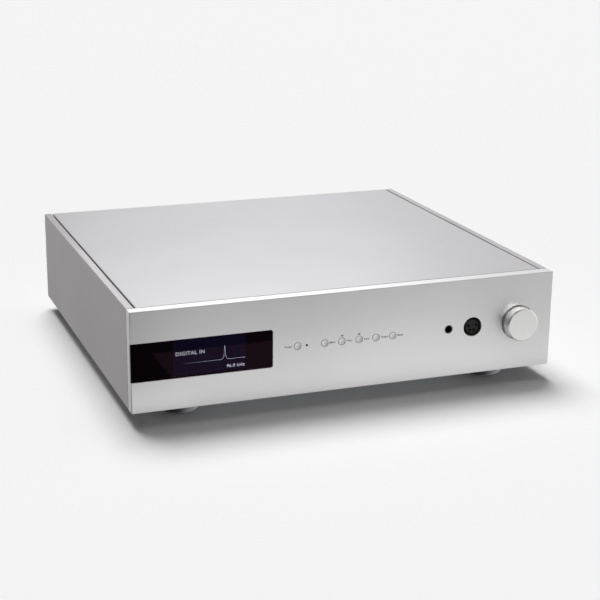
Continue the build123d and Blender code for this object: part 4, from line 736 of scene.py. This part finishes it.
class DAC_OT_add_front_legends(bpy.types.Operator):
    """Adds the printed legends beside the push buttons and the two small arrows above them"""
    bl_idname = "dac.add_front_legends"
    bl_label = "Add the front legends"

    def execute(self, context):
        words = context.scene.dac_print
        ink = screen_ink("dark_screen_ink", context.scene.dac_finish.ink_colour)
        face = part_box("front_panel")[0].y
        from_button = 5.0 * MM
        made = []
        for name in BUTTONS:
            spot = middle(name + "_button")
            side, align = (-from_button - 1 * MM, "RIGHT") if name == "power" else (from_button, "LEFT")
            made.append(lettering(name.capitalize(), (spot.x + side, face, spot.z), words.legend_height,
                                  words.ink_thickness, FACING_FRONT, align, weight=LEGEND_WEIGHT))
        finish_piece(join(made, "front_legends"), ink, "chassis")
        arrow_rise = 5.7 * MM
        arrow_radius = 1.9 * MM
        arrows = []
        for name, turn in (("filter", 0.0), ("input", pi)):
            spot = middle(name + "_button")
            deselect()
            bpy.ops.mesh.primitive_cylinder_add(vertices=3, radius=arrow_radius, depth=words.ink_thickness)
            arrow = bpy.context.object
            arrow.scale = (1.0, 0.6, 1.0)
            arrow.rotation_euler = (pi / 2, turn, 0)
            arrow.location = (spot.x, face - words.ink_thickness / 2, spot.z + arrow_rise)
            apply_place(arrow)
            close_mesh(arrow)
            arrows.append(arrow)
        finish_piece(join(arrows, "button_arrows"), ink, "chassis")
        return {"FINISHED"}


class DAC_OT_add_rear_legends(bpy.types.Operator):
    """Adds the printed legends of the rear panel"""
    bl_idname = "dac.add_rear_legends"
    bl_label = "Add the rear legends"

    def execute(self, context):
        words = context.scene.dac_print
        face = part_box("rear_panel")[1].y
        gap = 4.0 * MM
        made = []

        def legend(text, nodes, above):
            """Words above or below the middle of some nodes."""
            boxes = [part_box(node) for node in nodes]
            x = sum((low.x + high.x) / 2 for low, high in boxes) / len(boxes)
            top, bottom = max(high.z for low, high in boxes), min(low.z for low, high in boxes)
            z = top + gap if above else bottom - gap
            made.append(lettering(text, (x, face, z), words.rear_legend_height, words.ink_thickness,
                                  FACING_REAR, weight=LEGEND_WEIGHT))

        legend("LEFT", ["balanced_output_left"], True)
        legend("RIGHT", ["balanced_output_right"], True)
        legend("BALANCED OUTPUTS", ["balanced_output_left", "balanced_output_right"], False)
        legend("LINE OUTPUTS", ["phono_output_left", "phono_output_right"], False)
        legend("BALANCED IN", ["balanced_input"], True)
        legend("COAXIAL IN", ["phono_digital_input"], False)
        legend("CLOCK", ["clock_socket"], True)
        legend("OPTICAL", ["optical_input"], False)
        legend("USB", ["usb_socket"], False)
        legend("NETWORK", ["network_socket"], False)
        legend("MAINS", ["mains_inlet"], True)
        ink = screen_ink("dark_rear_ink", context.scene.dac_finish.ink_colour)
        finish_piece(join(made, "rear_legends"), ink, "chassis")
        return {"FINISHED"}


class DAC_OT_add_network_fittings(bpy.types.Operator):
    """Adds the network socket's eight spring contacts and its two light pipes"""
    bl_idname = "dac.add_network_fittings"
    bl_label = "Add the network socket's fittings"

    def execute(self, context):
        low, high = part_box("network_socket")
        spot = (low + high) / 2
        contact_pitch = 1.02 * MM
        wire = 0.17 * MM
        first = spot.x - 3.5 * contact_pitch
        inner = high.y - 12.5 * MM
        # Each wire comes off the floor of the mouth, leans out and folds back to its root.
        points = [(first, inner, spot.z + 1.2 * MM), (first, inner + 7.0 * MM, spot.z - 1.6 * MM),
                  (first, inner + 7.6 * MM, spot.z - 2.2 * MM), (first, inner + 6.8 * MM, spot.z - 2.7 * MM),
                  (first, inner + 1.0 * MM, spot.z - 2.7 * MM)]
        wires = copy_along(stroke(points, wire), 8, (contact_pitch, 0, 0))
        gold = bpy.data.materials.get("gold_plated_contacts")
        finish_piece(join(wires, "network_contacts"), gold, "chassis")
        pipe_size = (2.6 * MM, 0.5 * MM, 1.5 * MM)
        pipe_spread = 9.6 * MM
        pipe = block((spot.x - pipe_spread / 2, high.y + 0.15 * MM, high.z - 1.8 * MM), pipe_size, 0.12 * MM)
        pipes = copy_along(pipe, 2, (pipe_spread, 0, 0))
        clear = moulded_plastic("moulded_green_polycarbonate", linear("#5C8F55"), 0.15, 0.5, 1.58)
        finish_piece(join(pipes, "network_light_pipes"), clear, "chassis")
        return {"FINISHED"}


class DAC_OT_add_rocker_marks(bpy.types.Operator):
    """Adds the white on and off marks of the mains rocker"""
    bl_idname = "dac.add_rocker_marks"
    bl_label = "Add the rocker's marks"

    def execute(self, context):
        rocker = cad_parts["mains_rocker"]
        low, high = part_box("mains_rocker")
        ink = screen_ink("white_rocker_ink", linear("#E8E8E6"))
        rise = 0.25 * (high.z - low.z)
        mark_height, mark_thickness, mark_weight = 2.6 * MM, 0.05 * MM, 0.05 * MM
        away = 10 * MM
        to_rocker = rocker.matrix_world.inverted()
        marks = []
        for words, side in (("I", 1), ("O", -1)):
            start = Vector(((low.x + high.x) / 2, high.y + away, (low.z + high.z) / 2 + side * rise))
            inwards = to_rocker.to_3x3() @ Vector((0, -1, 0))
            spot, normal = rocker.ray_cast(to_rocker @ start, inwards)[1:3]
            lean = asin((rocker.matrix_world.to_3x3() @ normal).z)
            marks.append(lettering(words, rocker.matrix_world @ spot, mark_height, mark_thickness,
                                   (pi / 2 - lean, 0, pi), weight=mark_weight))
        finish_piece(join(marks, "rocker_marks"), ink, "rocker")
        return {"FINISHED"}


class DAC_OT_set_stage(bpy.types.Operator):
    """Sets the pale floor, the soft studio lights and the surround"""
    bl_idname = "dac.set_stage"
    bl_label = "Set the stage"

    def execute(self, context):
        stage = context.scene.dac_stage
        context.scene.view_settings.view_transform = "Standard"
        deselect()
        bpy.ops.mesh.primitive_plane_add(size=40)
        floor = bpy.context.object
        floor.name = "studio_floor"
        floor.data.materials.append(studio_paper(stage.floor_colour))
        floor.visible_glossy = False
        world = bpy.data.worlds.new("studio_room")
        context.scene.world = world
        world.use_nodes = True
        tree = world.node_tree
        tree.nodes.clear()
        world.cycles_visibility.diffuse = False
        way = add_node(tree, "ShaderNodeSeparateXYZ",
                       links={"Vector": add_node(tree, "ShaderNodeTexCoord").outputs["Generated"]})
        total = None
        for axis, sign, strength in (("X", 1, stage.room_right), ("Y", 1, stage.room_behind),
                                     ("Z", -1, stage.room_below)):
            lobe = add_node(tree, "ShaderNodeMath", {1: sign * strength}, {0: way.outputs[axis]},
                            operation="MULTIPLY")
            part = add_node(tree, "ShaderNodeMath", {1: 0.0}, {0: lobe.outputs[0]}, operation="MAXIMUM")
            if total:
                part = add_node(tree, "ShaderNodeMath", links={0: total.outputs[0], 1: part.outputs[0]},
                                operation="ADD")
            total = part
        room = add_node(tree, "ShaderNodeBackground", {"Color": (1, 1, 1, 1)},
                        {"Strength": total.outputs[0]})
        backdrop = add_node(tree, "ShaderNodeBackground",
                            {"Color": opaque(stage.floor_colour), "Strength": 1.0})
        seen = add_node(tree, "ShaderNodeLightPath").outputs["Is Camera Ray"]
        both = add_node(tree, "ShaderNodeMixShader",
                        links={0: seen, 1: room.outputs[0], 2: backdrop.outputs[0]})
        add_node(tree, "ShaderNodeOutputWorld", links={"Surface": both.outputs[0]})
        on_floor = bpy.data.collections.new("floor_only")
        on_floor.objects.link(floor)
        off_floor = bpy.data.collections.new("all_but_floor")
        off_floor.objects.link(floor)
        off_floor.collection_objects[0].light_linking.link_state = "EXCLUDE"
        for name, azimuth, elevation, distance, width, height, power in SOFTBOXES:
            light = softbox(name, azimuth, elevation, distance, (width, height), power)
            light.light_linking.receiver_collection = off_floor
        for name, left, right, near, far, power in CARDS:
            light = bounce_card(name, left, right, near, far, power)
            light.light_linking.receiver_collection = off_floor
        for name, way, angle, power in FLOOR_SUNS:
            sun = bpy.data.lights.new(name, "SUN")
            sun.energy = power * stage.floor_light
            sun.angle = radians(angle)
            wide = bpy.data.objects.new(name, sun)
            context.scene.collection.objects.link(wide)
            wide.rotation_euler = Vector(way).to_track_quat("-Z", "Y").to_euler()
            wide.light_linking.receiver_collection = on_floor
        return {"FINISHED"}


# Name, the way it stands from the object, its height as an angle, distance, width, height and power.
SOFTBOXES = [
    ("left_softbox", -110, 20, 1.6, 0.9, 0.7, 10.5),
    ("rear_softbox", 165, 45, 1.6, 0.8, 0.7, 4.9),
    ("low_rear_softbox", 165, 18, 1.8, 0.8, 0.5, 0.12),
    ("front_right_softbox", 20, 25, 1.5, 0.8, 0.6, 4.6),
    ("front_softbox", -10, 25, 1.5, 0.8, 0.6, 2.8),
]
# Reflector cards ahead of the front panel: name, left and right ends, near and far edges, power.
CARDS = [
    ("left_card", -0.6, -0.15, 0.03, 0.10, 0.08),
    ("middle_card", -0.15, 0.20, 0.03, 0.10, 0.05),
    ("middle_far_card", -0.15, 0.20, 0.10, 0.20, 0.07),
    ("right_card", 0.20, 0.80, 0.03, 0.10, 0.07),
    ("right_far_card", 0.20, 0.80, 0.10, 0.20, 0.04),
    ("right_farthest_card", 0.20, 0.80, 0.20, 0.35, 0.05),
]
# Lights that reach only the floor: name, the way that they shine, how wide they are in degrees and power.
FLOOR_SUNS = [
    ("floor_key", (0, -0.5, -1), 34, 3.05),
    ("floor_fill_right", (-0.8, -0.3, -1), 50, 0.30),
    ("floor_fill_above", (0, -0.2, -1), 70, 0.40),
]


def bounce_card(name, left, right, near, far, power):
    """A soft strip of light just over the floor ahead of the front panel, facing up."""
    lamp = bpy.data.lights.new(name, "AREA")
    lamp.shape = "RECTANGLE"
    lamp.size, lamp.size_y = right - left, far - near
    lamp.energy = power
    made = bpy.data.objects.new(name, lamp)
    bpy.context.scene.collection.objects.link(made)
    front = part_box("front_panel")[0].y
    made.location = ((left + right) / 2, front - (near + far) / 2, 2 * MM)
    made.rotation_euler = (pi, 0, 0)
    made.visible_camera = False
    return made


def softbox(name, azimuth, elevation, distance, size, power):
    """A soft rectangular light aimed at the object. Azimuth 0 is straight in front and 90 to the right."""
    a, e = radians(azimuth), radians(elevation)
    aim = Vector((0, 0, (cad_low.z + cad_high.z) / 2))
    away = Vector((sin(a) * cos(e), -cos(a) * cos(e), sin(e)))
    lamp = bpy.data.lights.new(name, "AREA")
    lamp.shape = "RECTANGLE"
    lamp.size, lamp.size_y = size
    lamp.energy = power
    made = bpy.data.objects.new(name, lamp)
    bpy.context.scene.collection.objects.link(made)
    made.location = aim + away * distance
    made.rotation_euler = (-away).to_track_quat("-Z", "Y").to_euler()
    made.visible_camera = False
    return made


class DAC_OT_set_camera(bpy.types.Operator):
    """Sets the camera in front, a little to the left and above"""
    bl_idname = "dac.set_camera"
    bl_label = "Set the camera"

    def execute(self, context):
        stage = context.scene.dac_stage
        a, e = stage.azimuth, stage.elevation
        forward = Vector((-sin(a) * cos(e), cos(a) * cos(e), -sin(e)))
        lens = bpy.data.cameras.new("studio_camera")
        lens.lens = stage.lens
        lens.sensor_width = 36
        camera = bpy.data.objects.new("studio_camera", lens)
        context.scene.collection.objects.link(camera)
        turned = forward.to_track_quat("-Z", "Y").to_matrix() @ Matrix.Rotation(stage.roll, 3, "Z")
        camera.matrix_world = Matrix.Translation(CAMERA_PLACE) @ turned.to_4x4()
        context.scene.camera = camera
        return {"FINISHED"}


CAMERA_PLACE = Vector((-0.51893, -1.43876, 0.51309))

STEPS = [
    DAC_OT_finish_case, DAC_OT_finish_feet, DAC_OT_finish_controls, DAC_OT_finish_display,
    DAC_OT_finish_sockets, DAC_OT_finish_inside, DAC_OT_add_display_picture, DAC_OT_add_front_legends,
    DAC_OT_add_rear_legends, DAC_OT_add_network_fittings, DAC_OT_add_rocker_marks, DAC_OT_set_stage,
    DAC_OT_set_camera,
]
SETTINGS = {"dac_finish": FinishSettings, "dac_print": PrintSettings, "dac_stage": StageSettings}


class DAC_PT_steps(bpy.types.Panel):
    """Lists the steps in the order that they are taken"""
    bl_idname = "DAC_PT_steps"
    bl_label = "Converter"
    bl_space_type = "VIEW_3D"
    bl_region_type = "UI"
    bl_category = "Converter"

    def draw(self, context):
        for group in SETTINGS:
            settings = getattr(context.scene, group)
            for name in settings.bl_rna.properties.keys():
                if name not in ("rna_type", "name"):
                    self.layout.prop(settings, name)
        for step in STEPS:
            self.layout.operator(step.bl_idname)


def register():
    for each in [*SETTINGS.values(), *STEPS, DAC_PT_steps]:
        bpy.utils.register_class(each)
    for name, group in SETTINGS.items():
        setattr(bpy.types.Scene, name, bpy.props.PointerProperty(type=group))


def unregister():
    for name in SETTINGS:
        delattr(bpy.types.Scene, name)
    for each in reversed([*SETTINGS.values(), *STEPS, DAC_PT_steps]):
        bpy.utils.unregister_class(each)


def main():
    register()
    for step in STEPS:
        group, name = step.bl_idname.split(".")
        getattr(getattr(bpy.ops, group), name)()


if __name__ == "__main__":
    main()
